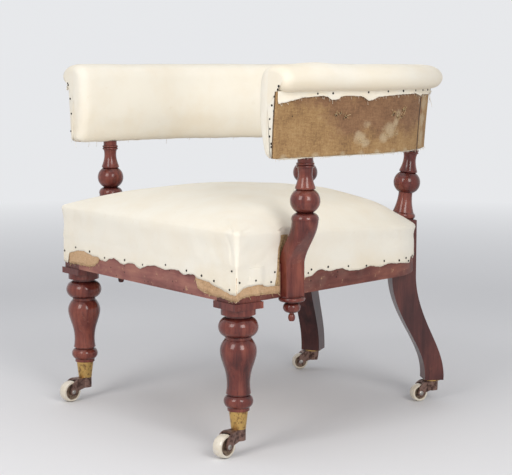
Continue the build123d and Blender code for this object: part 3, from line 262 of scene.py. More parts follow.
def calicoCloth():
    f = Finish("calico")
    cloth = f.attribute("cloth", "Vector")
    slubs = f.noise(900.0, 2.0, 0.5, f.stretched((1.0, 0.18, 1.0), cloth))
    cross = f.noise(900.0, 2.0, 0.5, f.stretched((0.18, 1.0, 1.0), cloth))
    mottle = f.noise(14.0, 5.0, 0.6)
    soil = f.attribute("soil")
    stainAndShade = f.step(soil + 0.5 * (mottle - 0.5), 0.15, 0.95)
    colour = f.mix((0.86, 0.815, 0.715), (0.84, 0.775, 0.655), f.step(mottle, 0.4, 0.7))
    # yellow tint of stains and soil, and of painted warm shade under the bow's roll
    colour = f.mix(colour, (0.79, 0.655, 0.44), stainAndShade * 0.5)
    colour = f.mix(colour, (0.70, 0.60, 0.45), f.step(f.noise(70.0, 3.0), 0.66, 0.78) * 0.2)
    lint = f.noise(240.0, 4.0, 0.65)
    torn = f.step(f.attribute("bare") + 0.25 * (lint - 0.5), 0.47, 0.53)
    hair = [(0.3, (0.20, 0.10, 0.045)), (0.5, (0.46, 0.31, 0.15)), (0.7, (0.62, 0.46, 0.26))]
    colour = f.mix(colour, f.ramp(lint, hair), torn)
    weave = slubs + cross
    normal = f.bump(weave, 0.3 * mm, 0.35)
    return f.shade(colour, 0.86 + 0.06 * slubs, Normal=normal, Sheen_Weight=0.12, Sheen_Roughness=0.5)


def hessianCloth(name, pale, middle, dark):
    f = Finish(name)
    cloth = f.attribute("cloth", "Vector")
    bands = {"wave_type": "BANDS", "wave_profile": "SIN"}
    weave = {"Vector": cloth, "Scale": 118.0, "Distortion": 3.2, "Detail": 3.0, "Detail Scale": 1.6}
    warp = f.node("ShaderNodeTexWave", {**bands, "bands_direction": "X"}, weave, out="Fac")
    weft = f.node("ShaderNodeTexWave", {**bands, "bands_direction": "Y"}, weave, out="Fac")
    slubs = f.noise(230.0, 4.0, 0.7, f.stretched((0.3, 1.0, 1.0), cloth))
    threads = f.noise(250.0, 4.0, 0.7, f.stretched((1.0, 0.3, 1.0), cloth))
    speckle = f.noise(330.0, 5.0, 0.7)
    mottle = f.noise(24.0, 7.0, 0.68)
    tone = slubs * 0.3 + threads * 0.3 + speckle * 0.35 + mottle * 0.5 - 0.22
    colour = f.ramp(tone, [(0.3, dark), (0.5, middle), (0.72, pale)])
    stainAndShade = f.step(f.attribute("soil") + 0.6 * (mottle - 0.5), 0.05, 0.8)
    browns = [(0.3, (0.115, 0.054, 0.031)), (0.5, (0.25, 0.122, 0.066)), (0.75, (0.40, 0.22, 0.115))]
    colour = f.mix(colour, f.ramp(tone, browns), stainAndShade * 0.8)
    chalk = f.step(f.attribute("faded") + 1.1 * (speckle - 0.5) + 0.8 * (mottle - 0.5), 0.25, 1.0)
    colour = f.mix(colour, (0.60, 0.46, 0.29), chalk * 0.8)
    gaps = f.step(warp * weft, 0.02, 0.3)
    colour = f.mix((0.07, 0.04, 0.022), colour, 0.7 + 0.3 * gaps)
    worn = f.step(f.attribute("bare") + 0.6 * (speckle - 0.5), 0.35, 0.6)
    colour = f.mix(colour, (0.035, 0.018, 0.012), worn * 0.9)
    normal = f.bump(warp * 0.4 + weft * 0.4 + slubs * 0.5 + threads * 0.5 - worn, 0.8 * mm, 0.8)
    return f.shade(colour, 0.95, Normal=normal)


def wornMetal(name, bright, tarnish, spotScale, spotEdge, metallic, rough):
    f = Finish(name)
    spots = f.step(f.noise(spotScale, 5.0, 0.6), spotEdge, spotEdge + 0.12)
    streaks = f.noise(90.0, 4.0, 0.6, f.stretched((1.0, 1.0, 0.2)))
    colour = f.mix(bright, tarnish, spots * 0.8 + 0.25 * streaks)
    normal = f.bump(spots * 0.5 + streaks * 0.4, 0.3 * mm, 0.5)
    roughness = rough + 0.25 * spots + 0.15 * streaks
    return f.shade(colour, roughness, Metallic=metallic - 0.3 * spots, Normal=normal)


def glazedCeramic(name, pale, cream):
    f = Finish(name)
    cloud = f.noise(60.0, 4.0, 0.6)
    grime = f.step(f.noise(140.0, 5.0, 0.7), 0.58, 0.72)
    colour = f.mix(pale, cream, f.step(cloud, 0.35, 0.7))
    colour = f.mix(colour, (0.30, 0.22, 0.15), grime * 0.35)
    normal = f.bump(cloud + grime * 0.4, 0.2 * mm, 0.3)
    return f.shade(colour, 0.16 + 0.3 * grime, Normal=normal, Coat_Weight=0.4, Coat_Roughness=0.08)


def plainWood(name):
    f = Finish(name)
    figure = f.noise(40.0, 6.0, 0.6, f.stretched((1.0, 0.15, 1.0)), 0.5)
    beech = [(0.3, (0.30, 0.17, 0.08)), (0.55, (0.46, 0.29, 0.15)), (0.75, (0.58, 0.40, 0.22))]
    return f.shade(f.ramp(figure, beech), 0.6 + 0.15 * figure, Normal=f.bump(figure, 0.4 * mm, 0.5))


def fibre(name, tintScale, rough, tones):
    f = Finish(name)
    return f.shade(f.ramp(f.noise(tintScale, 3.0), tones), rough)


def juteWebbing():
    f = Finish("juteWebbing")
    cloth = f.attribute("cloth", "Vector")
    rib = f.node("ShaderNodeTexWave", {"wave_type": "BANDS", "bands_direction": "X"},
                 {"Vector": cloth, "Scale": 90.0, "Distortion": 1.0}, out="Fac")
    mottle = f.noise(40.0, 5.0, 0.6)
    stripe = f.attribute("soil")
    jute = [(0.3, (0.26, 0.16, 0.075)), (0.55, (0.42, 0.28, 0.14)), (0.75, (0.55, 0.40, 0.22))]
    colour = f.mix(f.ramp(mottle, jute), (0.20, 0.09, 0.05), stripe * 0.8)
    return f.shade(colour, 0.92, Normal=f.bump(rib, 0.5 * mm, 0.7))


def floorPaint():
    f = Finish("floorPaint")
    cloud = f.noise(0.8, 2.0)
    pale = studio["floorColour"][:3]
    colour = f.mix(pale, tuple(0.97 * c for c in pale), cloud)
    surface = f.node("ShaderNodeBsdfPrincipled", {}, {"Base Color": colour, "Roughness": 0.75})
    backdrop = f.node("ShaderNodeEmission", {}, {"Color": studio["backColour"]})
    reach = f.node("ShaderNodeVectorMath", {"operation": "LENGTH"}, {0: f.coords}, out="Value")
    fade = f.step(reach, *studio["floorFade"]) * f.seenRays()
    mixed = f.node("ShaderNodeMixShader", {}, {0: fade, 1: surface, 2: backdrop})
    return f.surface(mixed)


mahogany = polishedWood("mahogany", (0.028, 0.006, 0.007), (0.132, 0.027, 0.020), (0.26, 0.070, 0.044))
backLegWood = polishedWood("backLegMahogany", (0.020, 0.005, 0.006), (0.068, 0.017, 0.016),
                           (0.14, 0.038, 0.029), worn=0.2, rough=0.3)
railAcross = dryRailWood("railWoodAcross", (0.12, 1.0, 1.0), (0.11, 0.037, 0.033), (0.255, 0.098, 0.085),
                         (0.42, 0.19, 0.14))
railAlong = dryRailWood("railWoodAlong", (1.0, 0.12, 1.0), (0.065, 0.022, 0.019), (0.15, 0.050, 0.040),
                        (0.27, 0.10, 0.070))
calico = calicoCloth()
hessian = hessianCloth("hessian", (0.60, 0.41, 0.195), (0.425, 0.25, 0.105), (0.19, 0.10, 0.044))
scrimHessian = hessianCloth("scrim", (0.80, 0.58, 0.36), (0.68, 0.44, 0.25), (0.36, 0.20, 0.10))
brass = wornMetal("wornBrass", (0.66, 0.43, 0.15), (0.18, 0.09, 0.04), 150.0, 0.51, 1.0, 0.26)
bronze = wornMetal("hornBronze", (0.27, 0.17, 0.14), (0.07, 0.035, 0.03), 120.0, 0.48, 0.95, 0.36)
hubBronze = wornMetal("hubBronze", (0.30, 0.22, 0.16), (0.08, 0.05, 0.035), 150.0, 0.5, 0.9, 0.36)
iron = wornMetal("tackIron", (0.035, 0.03, 0.028), (0.012, 0.009, 0.008), 300.0, 0.5, 0.7, 0.5)
steel = wornMetal("screwSteel", (0.42, 0.40, 0.38), (0.16, 0.10, 0.07), 200.0, 0.55, 1.0, 0.35)
springSteel = wornMetal("springSteel", (0.36, 0.22, 0.14), (0.12, 0.07, 0.05), 140.0, 0.5, 1.0, 0.35)
ceramic = glazedCeramic("ceramic", (0.74, 0.69, 0.60), (0.66, 0.57, 0.44))
frameWood = plainWood("frameBeech")
straw = fibre("straw", 160.0, 0.7, [(0.3, (0.32, 0.20, 0.09)), (0.5, (0.56, 0.40, 0.20)),
                                    (0.7, (0.76, 0.62, 0.38))])
thread = fibre("thread", 120.0, 0.85, [(0.35, (0.62, 0.52, 0.38)), (0.55, (0.80, 0.73, 0.60)),
                                       (0.75, (0.88, 0.84, 0.75))])
webbingJute = juteWebbing()
print("finishes ready")


# Pieces that keep their solid and take a finish

nodeFinishes = {
    "_leg": mahogany, "_arm_support": mahogany, "_drop_finial": mahogany, "_post": mahogany,
    "front_rail": railAcross, "back_rail": railAcross, "left_rail": railAlong, "right_rail": railAlong,
    "corner_blocks": frameWood, "bow_lower_rail": frameWood, "bow_upper_rail": frameWood,
    "bow_uprights": frameWood,
    "_castor_cup": brass, "_castor_plate": brass, "_castor_horn": bronze, "_castor_pin": steel,
    "_castor_axle": steel, "_castor_hub": hubBronze, "_castor_wheel": ceramic,
    "castor_screws": steel, "support_screws": steel,
}


def dressNodes():
    for name, piece in nodes.items():
        for ending, finish in nodeFinishes.items():
            if ending in name:
                chosen = backLegWood if name in ("back_left_leg", "back_right_leg") else finish
                piece.data.materials.clear()
                piece.data.materials.append(chosen)


# Meshes from rows of points

def makePiece(name, points, faces, finish, cloth=None, slot=None, **marks):
    mesh = bpy.data.meshes.new(name)
    mesh.from_pydata([tuple(p) for p in points], [], faces)
    shell = bmesh.new()
    shell.from_mesh(mesh)
    bmesh.ops.recalc_face_normals(shell, faces=shell.faces)
    shell.to_mesh(mesh)
    shell.free()
    mesh.shade_smooth()
    mesh.materials.append(finish)
    if cloth:
        layer = mesh.attributes.new("cloth", "FLOAT_VECTOR", "POINT")
        for item, (u, v) in zip(layer.data, cloth):
            item.vector = (u, v, 0.0)
    for label, values in marks.items():  # soil, stripes and painted shade, faded and bare places of the cloth
        layer = mesh.attributes.new(label, "FLOAT", "POINT")
        for item, value in zip(layer.data, values):
            item.value = value
    piece = bpy.data.objects.new(name, mesh)
    scene.collection.objects.link(piece)
    return piece


def gridFaces(rowCount, columnCount, closed, first=0):
    faces = []
    for row in range(rowCount - 1):
        for column in range(columnCount if closed else columnCount - 1):
            after = (column + 1) % columnCount
            a = first + row * columnCount
            b = a + columnCount
            faces.append((a + column, a + after, b + after, b + column))
    return faces


def between(pairs, place):
    if place <= pairs[0][0]:
        return pairs[0][1]
    for (start, low), (end, high) in zip(pairs, pairs[1:]):
        if place <= end:
            return low + (high - low) * (place - start) / (end - start)
    return pairs[-1][1]


def eased(pairs, place):
    # the same, rounded at each given point
    if place <= pairs[0][0]:
        return pairs[0][1]
    for (start, low), (end, high) in zip(pairs, pairs[1:]):
        if place <= end:
            share = (place - start) / (end - start)
            return low + (high - low) * share * share * (3 - 2 * share)
    return pairs[-1][1]


def smoothLine(points, count):
    # evenly spaced points on a curve through the given ones
    fine = []
    for index in range(len(points) - 1):
        before = points[max(index - 1, 0)]
        start, end = points[index], points[index + 1]
        after = points[min(index + 2, len(points) - 1)]
        for step in range(12):
            t = step / 12
            fine.append(tuple(
                0.5 * (2 * p1 + (p2 - p0) * t + (2 * p0 - 5 * p1 + 4 * p2 - p3) * t * t
                       + (3 * p1 - p0 - 3 * p2 + p3) * t ** 3)
                for p0, p1, p2, p3 in zip(before, start, end, after)
            ))
    fine.append(points[-1])
    lengths = [0.0]
    for a, b in zip(fine, fine[1:]):
        lengths.append(lengths[-1] + math.dist(a, b))
    line = []
    for index in range(count):
        want = lengths[-1] * index / (count - 1)
        spot = max(k for k in range(len(lengths)) if lengths[k] <= want + 1e-9)
        spot = min(spot, len(fine) - 2)
        t = (want - lengths[spot]) / max(lengths[spot + 1] - lengths[spot], 1e-9)
        line.append(tuple(a + (b - a) * t for a, b in zip(fine[spot], fine[spot + 1])))
    return line


def clamped(value):
    return max(0.0, min(1.0, value))


def ripple(x, y, z):
    return noise.noise(Vector((x, y, z)))


def lump(point, size, amount, shift=0.0):
    return amount * noise.noise(Vector(point) / size + Vector((shift, 0.0, 0.0)))


def closeEnd(points, faces, first, count, turned=False):
    # fan of faces from a ring of points to its middle
    middle = len(points)
    ring = list(range(first, first + count))
    points.append(sum((points[k] for k in ring), Vector()) / count)
    for a, b in zip(ring, ring[1:] + ring[:1]):
        faces.append((b, a, middle) if turned else (a, b, middle))


def applyModifiers(piece):
    graph = bpy.context.evaluated_depsgraph_get()
    mesh = bpy.data.meshes.new_from_object(piece.evaluated_get(graph), depsgraph=graph)
    piece.modifiers.clear()
    old = piece.data
    piece.data = mesh
    mesh.name = old.name
    bpy.data.meshes.remove(old)


def thickened(piece, thickness):
    thicken = piece.modifiers.new("thickness", "SOLIDIFY")
    thicken.thickness = thickness
    thicken.offset = 0.0
    applyModifiers(piece)
    return piece


# Plan of the seat, from the frame

frontRailLow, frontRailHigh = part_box("front_rail")
frontLegLow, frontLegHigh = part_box("front_right_leg")
railTop = frontRailHigh.z
railBottom = frontRailLow.z

seatPlan = {
    "taper": math.radians(7.5),
    "blockHalf": 29 * mm,
    "overhang": 4 * mm,
    "cornerRadius": 170 * mm,
    "crownY": 20 * mm,
    "frontRise": 74 * mm,
    "backRise": 36 * mm,
    "crown": 69 * mm,
    "crownPower": 2.4,
    "edgeRadius": 9 * mm,
    "skirtRound": 3 * mm,  # front corners, at the rail and at the top
    "topRound": 8 * mm,
    "lap": 1.5 * mm,  # calico outside the rails
    # columns on half the front, a front corner, a side, a back corner and half the back
    "counts": (64, 8, 96, 84, 14),
    "skirtRows": 8,
    "borderRows": 14,
    "edgeRows": 6,
    "topRows": 25,
    "edgeTurn": math.radians(66),  # how far the edge rolls over before the top begins
    "drawIn": 2.5 * mm,  # border between the rail and the edge
    "borderHeight": 95 * mm,
    "underside": [(-70, 12, 42.5), (-22, 10, 1.5)],  # on the canvas: outset, corner and rise, in millimetres
    "fullCorner": (1.8 * mm, 45 * mm),  # front corners stand out: by how much and how far along
    "borderLumps": (75 * mm, 0.9 * mm),
    "bridge": 0.4,  # slope of the calico from the leg's block to the rail behind it
    "soil": (315 * mm, 55 * mm),  # where the skirt's calico begins to turn darker and yellower towards the bottom, and its reach
    "topCorner": (330 * mm, 210 * mm),  # how fast the corners of the top grow round, and the most
    "girth": 0.33,  # mean radius that turns an angle round the seat into a length of cloth
    "lumps": (95 * mm, 2.2 * mm),  # of the top: size and rise
    "pulls": (19 * mm, 90 * mm, 0.9 * mm),  # upright pulls of the border: width, height and depth
    "pleat": (299 * mm, 372 * mm, 416 * mm),  # crease by the near corner: place, bottom and top
    "pleatDepth": (1.3 * mm, 2.6 * mm),
    # torn edge of the calico before the arm support: height and place on the side
    "torn": [(296, -225), (322, -222), (335, -218), (359, -215), (389, -211), (406, -206), (416, -199)],
    "tornTop": 417 * mm,
    "tornBlend": 12,
}
frontY = frontRailLow.y
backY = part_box("back_rail")[1].y
frontLegX = (frontLegLow.x + frontLegHigh.x) / 2
frontHalf = frontLegX + seatPlan["blockHalf"] + seatPlan["overhang"]
cornerY = backY - seatPlan["cornerRadius"]
rake = (seatPlan["frontRise"] - seatPlan["backRise"]) / (backY - frontY)


def railFace(y):
    return frontHalf - (y - frontY) * math.tan(seatPlan["taper"])


cornerX = railFace(cornerY) - seatPlan["cornerRadius"] / math.cos(seatPlan["taper"])


def edgeLevel(y):
    return railTop + seatPlan["frontRise"] - (y - frontY) * rake


def seatOutline(outset, cornerRound):
    # points of the plan with their outward directions, from the middle of the front round to the right
    taper = seatPlan["taper"]
    radius = seatPlan["cornerRadius"] + outset
    touch = Vector((cornerX + radius * math.cos(taper), cornerY + radius * math.sin(taper)))
    front = frontY - outset
    cornerPoint = Vector((touch.x + (touch.y - front) * math.tan(taper), front))
    tangent = cornerRound * math.tan((math.pi / 2 + taper) / 2)
    arcStart = Vector((cornerPoint.x - tangent, front))
    arcMiddle = arcStart + Vector((0, cornerRound))
    sideDir = Vector((-math.sin(taper), math.cos(taper)))
    sideStart = cornerPoint + sideDir * tangent
    frontCount, roundCount, sideCount, backCount, restCount = seatPlan["counts"]
    half = []
    for k in range(frontCount):
        half.append((Vector((arcStart.x * (1 - (1 - k / frontCount) ** 1.5), front)), Vector((0, -1))))
    for k in range(roundCount):
        turn = -math.pi / 2 + (math.pi / 2 + taper) * k / roundCount
        way = Vector((math.cos(turn), math.sin(turn)))
        half.append((arcMiddle + way * cornerRound, way))
    sideWay = Vector((math.cos(taper), math.sin(taper)))
    for k in range(sideCount):
        half.append((sideStart + (touch - sideStart) * (k / sideCount), sideWay))
    for k in range(backCount):
        turn = taper + (math.pi / 2 - taper) * k / backCount
        way = Vector((math.cos(turn), math.sin(turn)))
        half.append((Vector((cornerX, cornerY)) + way * radius, way))
    for k in range(restCount + 1):
        half.append((Vector((cornerX * (1 - k / restCount), cornerY + radius)), Vector((0, 1))))
    twin = [(Vector((-p.x, p.y)), Vector((-n.x, n.y))) for p, n in reversed(half[1:-1])]
    return half + twin


# Torn lower edge of the seat's calico, in millimetres: place along the front or the right side, and height
seatEdge = {
    "front": [(-322, 309), (-296, 306), (-291, 328), (-277, 332), (-251, 338), (-225, 339),
              (-209, 335), (-186, 332), (-174, 333), (-155, 327), (-140, 326), (-127, 333),
              (-106, 337), (-94, 334), (-82, 329), (-70, 328), (-52, 333), (-31, 334), (-20, 329),
              (-8, 326), (0, 330), (23, 336), (46, 339), (62, 337), (79, 335), (112, 339), (128, 339),
              (138, 334), (149, 333), (165, 336), (180, 337), (193, 331), (211, 330), (229, 329),
              (241, 324), (261, 321), (286, 316), (300, 313), (318, 313)],
    "side": [(-326, 313), (-317, 319), (-306, 325), (-292, 327), (-276, 328), (-260, 328), (-251, 323),
             (-239, 321), (-205, 320), (-131, 327), (-118, 328), (-106, 335), (-98, 338), (-88, 338),
             (-76, 334), (-63, 332), (-33, 334), (-2, 326), (28, 325), (60, 329), (91, 324),
             (118, 328), (140, 326), (201, 321)],
    "level": 326,
    "wave": 7,
    "pitch": 58,
    "ragged": 1.2,
}


def calicoEdge(point, way):
    ragged = seatEdge["ragged"] * noise.noise(Vector((point.x, point.y, 0)) / (7 * mm))
    if way.y < -0.75:
        return (eased(seatEdge["front"], point.x / mm) + ragged) * mm
    if way.x > 0 and point.y / mm < seatEdge["side"][-1][0]:
        return (eased(seatEdge["side"], point.y / mm) + ragged) * mm
    run = (point.x - point.y) / mm / seatEdge["pitch"]
    return (seatEdge["level"] + seatEdge["wave"] * abs(math.sin(math.pi * run)) + ragged) * mm


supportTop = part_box("right_arm_support")[1].z
finialLow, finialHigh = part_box("right_drop_finial")
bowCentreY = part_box("bow_lower_rail_back")[0].y

uprightRoom = {
    "postAngle": math.radians(30.3),
    "postRing": 331 * mm,  # back legs from the centre of the bow
    "legHalfDepth": 27.5 * mm,
    "legHalfWidth": 23.5 * mm,
    "postHalf": 28.5 * mm,
    "legTop": 411 * mm,
    "supportHalf": 24.0 * mm,
    "housing": 5.5 * mm,
}
supportY = (finialLow.y + finialHigh.y) / 2


def uprightHalves(z):
    if z < uprightRoom["legTop"]:
        return uprightRoom["legHalfWidth"], uprightRoom["legHalfDepth"]
    return uprightRoom["postHalf"], uprightRoom["postHalf"]


def clearOfUprights(row):
    # columns that would pass through a back leg, a post or an arm support go round its inner side
    for sign in (1, -1):
        angle = uprightRoom["postAngle"] * sign
        out = Vector((math.sin(angle), math.cos(angle), 0))
        side = Vector((-out.y, out.x, 0))
        place = Vector((0, bowCentreY, 0)) + out * uprightRoom["postRing"]
        inside = []
        for index, point in enumerate(row):
            halfWidth, halfDepth = uprightHalves(point.z)
            local = Vector((point.x, point.y, 0)) - place
            if abs(local.dot(side)) < halfWidth and local.dot(out) > -halfDepth:
                inside.append((index, local.dot(out)))
        for count, (index, reach) in enumerate(inside):
            halfWidth, halfDepth = uprightHalves(row[index].z)
            depth = reach + halfDepth
            run = (2 * depth + 2 * halfWidth) * (count + 0.5) / len(inside)
            if run < depth:
                a, b = reach - run, -halfWidth
            elif run < depth + 2 * halfWidth:
                a, b = -halfDepth, run - depth - halfWidth
            else:
                a, b = -halfDepth + run - depth - 2 * halfWidth, halfWidth
            moved = place + out * a + side * b
            row[index] = Vector((moved.x, moved.y, row[index].z))
    for index, point in enumerate(row):
        if abs(point.y - supportY) < uprightRoom["supportHalf"] and point.z < supportTop:
            limit = railFace(point.y) - uprightRoom["housing"]
            if abs(point.x) > limit:
                row[index] = Vector((math.copysign(limit, point.x), point.y, point.z))
    return row


def makeSeatPad():
    rows = []
    crownPlace = Vector((0, seatPlan["crownY"]))
    skirtRound, topRound = seatPlan["skirtRound"], seatPlan["topRound"]
    blockSide = frontLegX + seatPlan["blockHalf"] + seatPlan["lap"]
    blockBack = frontY + 2 * seatPlan["blockHalf"] + seatPlan["lap"]

    def levelRow(outset, cornerRound, level, swell=None):
        row = []
        for point, way in seatOutline(outset, cornerRound):
            z = level(point, way)
            x, y = point
            if z < railTop + 2 * mm and outset > 0 and abs(way.x) > 0.8:
                bridged = blockSide - max(0.0, y - blockBack) * seatPlan["bridge"]
                x = math.copysign(max(abs(x), bridged), x)
            if swell:
                push = swell(point, way, z)
                x += way.x * push
                y += way.y * push
            row.append(Vector((x, y, z)))
        return row

    def folds(point, way, z):
        # upright pulls from the tacks, and the lumps of the hair behind
        run = math.atan2(point.y - crownPlace.y, point.x) * seatPlan["girth"]
        rise = clamped((edgeLevel(point.y) - z) / seatPlan["borderHeight"])
        width, height, depth = seatPlan["pulls"]
        pulls = depth * ripple(run / width, z / height, 3.0) * rise
        stand, reach = seatPlan["fullCorner"]
        corner = math.hypot(abs(point.x) - frontHalf, point.y - frontY) / reach
        full = stand * math.exp(-corner * corner)
        place, low, high = seatPlan["pleat"]
        pleat = 0.0
        if way.y < -0.9 and low < z < high:
            deep, wide = seatPlan["pleatDepth"]
            gone = (point.x - place) / wide
            pleat = deep * math.exp(-gone * gone) * math.sin(math.pi * (z - low) / (high - low))
        return pulls + full - pleat + lump((point.x, point.y, z), *seatPlan["borderLumps"])

    # underside on the canvas, and the inner face of the skirt
    for outset, cornerRound, rise in seatPlan["underside"]:
        rows.append(levelRow(outset * mm, cornerRound * mm, lambda p, n: railTop + rise * mm))
    rows.append(levelRow(0.4 * mm, skirtRound, lambda p, n: railTop + 0.8 * mm))
    rows.append(levelRow(0.5 * mm, skirtRound, lambda p, n: calicoEdge(p, n) + 0.3 * mm))
    for k in range(seatPlan["skirtRows"]):
        share = k / (seatPlan["skirtRows"] - 1)

        def skirtLevel(p, n):
            low = calicoEdge(p, n)
            return low + (railTop - low) * share

        def skirtSwell(p, n, z):
            return (1 - share) * (0.5 * mm + lump((p.x, p.y, z), 16 * mm, 0.9 * mm))

        rows.append(levelRow(seatPlan["lap"], skirtRound, skirtLevel, skirtSwell))
    edgeRadius = seatPlan["edgeRadius"]
    for k in range(1, seatPlan["borderRows"] + 1):
        share = k / seatPlan["borderRows"]

        def borderLevel(p, n):
            return railTop + (edgeLevel(p.y) - edgeRadius - railTop) * share

        outset = seatPlan["lap"] + (seatPlan["overhang"] - seatPlan["lap"]) * share
        outset -= seatPlan["drawIn"] * math.sin(math.pi * share)
        rows.append(levelRow(outset, skirtRound + (topRound - skirtRound) * share, borderLevel, folds))
    for k in range(1, seatPlan["edgeRows"] + 1):
        turn = seatPlan["edgeTurn"] * k / seatPlan["edgeRows"]
        outset = seatPlan["overhang"] - edgeRadius * (1 - math.cos(turn))

        def roundLevel(p, n):
            return edgeLevel(p.y) - edgeRadius * (1 - math.sin(turn))

        rows.append(levelRow(outset, topRound, roundLevel, folds))
    growth, roundest = seatPlan["topCorner"]
    lumpSize, lumpRise = seatPlan["lumps"]
    topRows = seatPlan["topRows"]
    for k in range(topRows):  # rings from the edge to the crown
        f = 0.968 * (1 - (k / topRows) ** 1.25)
        row = []
        for point, way in seatOutline(seatPlan["overhang"], min(topRound + growth * (1 - f), roundest)):
            spot = crownPlace + (point - crownPlace) * f
            z = edgeLevel(spot.y) + seatPlan["crown"] * (1 - f ** seatPlan["crownPower"]) - 4.5 * mm * f ** 12
            z += lump((spot.x, spot.y, 0), lumpSize, lumpRise) * (1 - f ** 6)
            row.append(Vector((spot.x, spot.y, z)))
        rows.append(row)
    for row in rows:
        clearOfUprights(row)
    count = len(rows[0])
    points = [p for row in rows for p in row]
    faces = gridFaces(len(rows), count, True)
    closeEnd(points, faces, 0, count, turned=True)
    closeEnd(points, faces, (len(rows) - 1) * count, count)
    cloth = []
    soil = []
    bare = []
    lowTintLevel, lowTintReach = seatPlan["soil"]
    for p in points:
        run = math.atan2(p.x, -(p.y - crownPlace.y)) * seatPlan["girth"]
        flat = p.z > edgeLevel(p.y) - 4 * mm
        cloth.append((p.x, p.y) if flat else (run, p.z))
        low = 1.0 - clamped((p.z - lowTintLevel) / lowTintReach)
        soil.append(low * 0.6 + max(0.0, lump(p, 120 * mm, 0.4)))
        gap = (p.y / mm - between(seatPlan["torn"], p.z / mm)) / seatPlan["tornBlend"] + 0.5
        onSide = p.x > 200 * mm and p.y < supportY and p.z < seatPlan["tornTop"]
        bare.append(clamped(gap) if onSide else 0.0)
    return makePiece("seatPad", points, faces, calico, cloth, "calico", soil=soil, bare=bare)


# Bow: path round the middle line, from the front of the right arm to the front of the left one

bowLow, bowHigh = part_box("bow_cover")
bowShape = {
    "rollReach": 54 * mm,  # roll beyond the middle line
    "bottomOut": 20 * mm,
    "flare": 9 * mm,
    "endRound": 22 * mm,
    "columnStep": 7 * mm,
    # section from the crease under the roll, over the top and down inside:
    # out from the middle line, and up from the underside
    "section": [(30.5, 123.5), (38, 124), (49, 128.5), (56.5, 138.5), (57.3, 149), (50, 160.5),
                (36, 168.5), (19, 171.7), (2, 172.2), (-13, 169.5), (-25, 161), (-31.5, 147),
                (-33.5, 130), (-35, 104), (-34.5, 78), (-32.5, 57), (-28.5, 38), (-23, 18), (-17, 5.5),
                (-9.5, -0.2), (4, -0.8), (18.5, -0.6)],
    "roundness": (0.62, 1.0, 14 * mm, 42 * mm),  # end rounding outside and inside, and where it changes
    "topSwell": (5 * mm, 105 * mm, 52 * mm),  # fuller place on the near arm: rise, place and reach
    "hem": 2.2 * mm,
    "backInset": 2.2 * mm,  # pad behind the outer hessian
    "backTight": 0.15,  # rounding of that flat back at the ends of the arms
    "lumps": [(85 * mm, 1.6 * mm, 5.0), (30 * mm, 0.4 * mm, 9.0)],  # size, rise and shift of the pattern
    "endRows": 7,
    "endShrink": (0.12, 0.3, 0.5, 0.7, 0.88),  # rings that close the ends
    "endCrown": 1.2 * mm,
    # the calico turns darker and yellower towards the bottom of the bow: how far up that reaches
    "lowTintReach": 62 * mm,
    "paintedCreaseShade": (30 * mm, 122 * mm, 26 * mm),  # painted warm shade under the roll: from how far out, its level and its reach
    "sectionCount": 74,
    "backCount": 16,
}
bowRadius = bowHigh.x - bowShape["rollReach"]
bowBottom = bowLow.z
armFrontY = bowLow.y
armLength = bowCentreY - armFrontY
bowLength = 2 * armLength + math.pi * bowRadius


def bowPlace(run):
    # point on the middle line and the way out from it
    if run < armLength:
        return Vector((bowRadius, armFrontY + run, 0)), Vector((1, 0, 0))
    if run > armLength + math.pi * bowRadius:
        return Vector((-bowRadius, armFrontY + bowLength - run, 0)), Vector((-1, 0, 0))
    turn = (run - armLength) / bowRadius
    way = Vector((math.cos(turn), math.sin(turn), 0))
    return Vector((0, bowCentreY, 0)) + way * bowRadius, way


def faceOut(rise):
    return bowShape["bottomOut"] + bowShape["flare"] * rise / (112 * mm)


def bowPoint(run, out, rise):
    place, way = bowPlace(run)
    return place + way * out + Vector((0, 0, bowBottom + rise))


def bowLoop():
    section = [(u * mm, z * mm) for u, z in bowShape["section"]]
    loop = smoothLine(section, bowShape["sectionCount"])
    last = loop[-1]
    top = loop[0]
    for k in range(1, bowShape["backCount"] + 1):
        share = k / (bowShape["backCount"] + 1)
        rise = last[1] + (top[1] - last[1]) * share
        loop.append((faceOut(rise) - bowShape["backInset"], rise))
    return loop


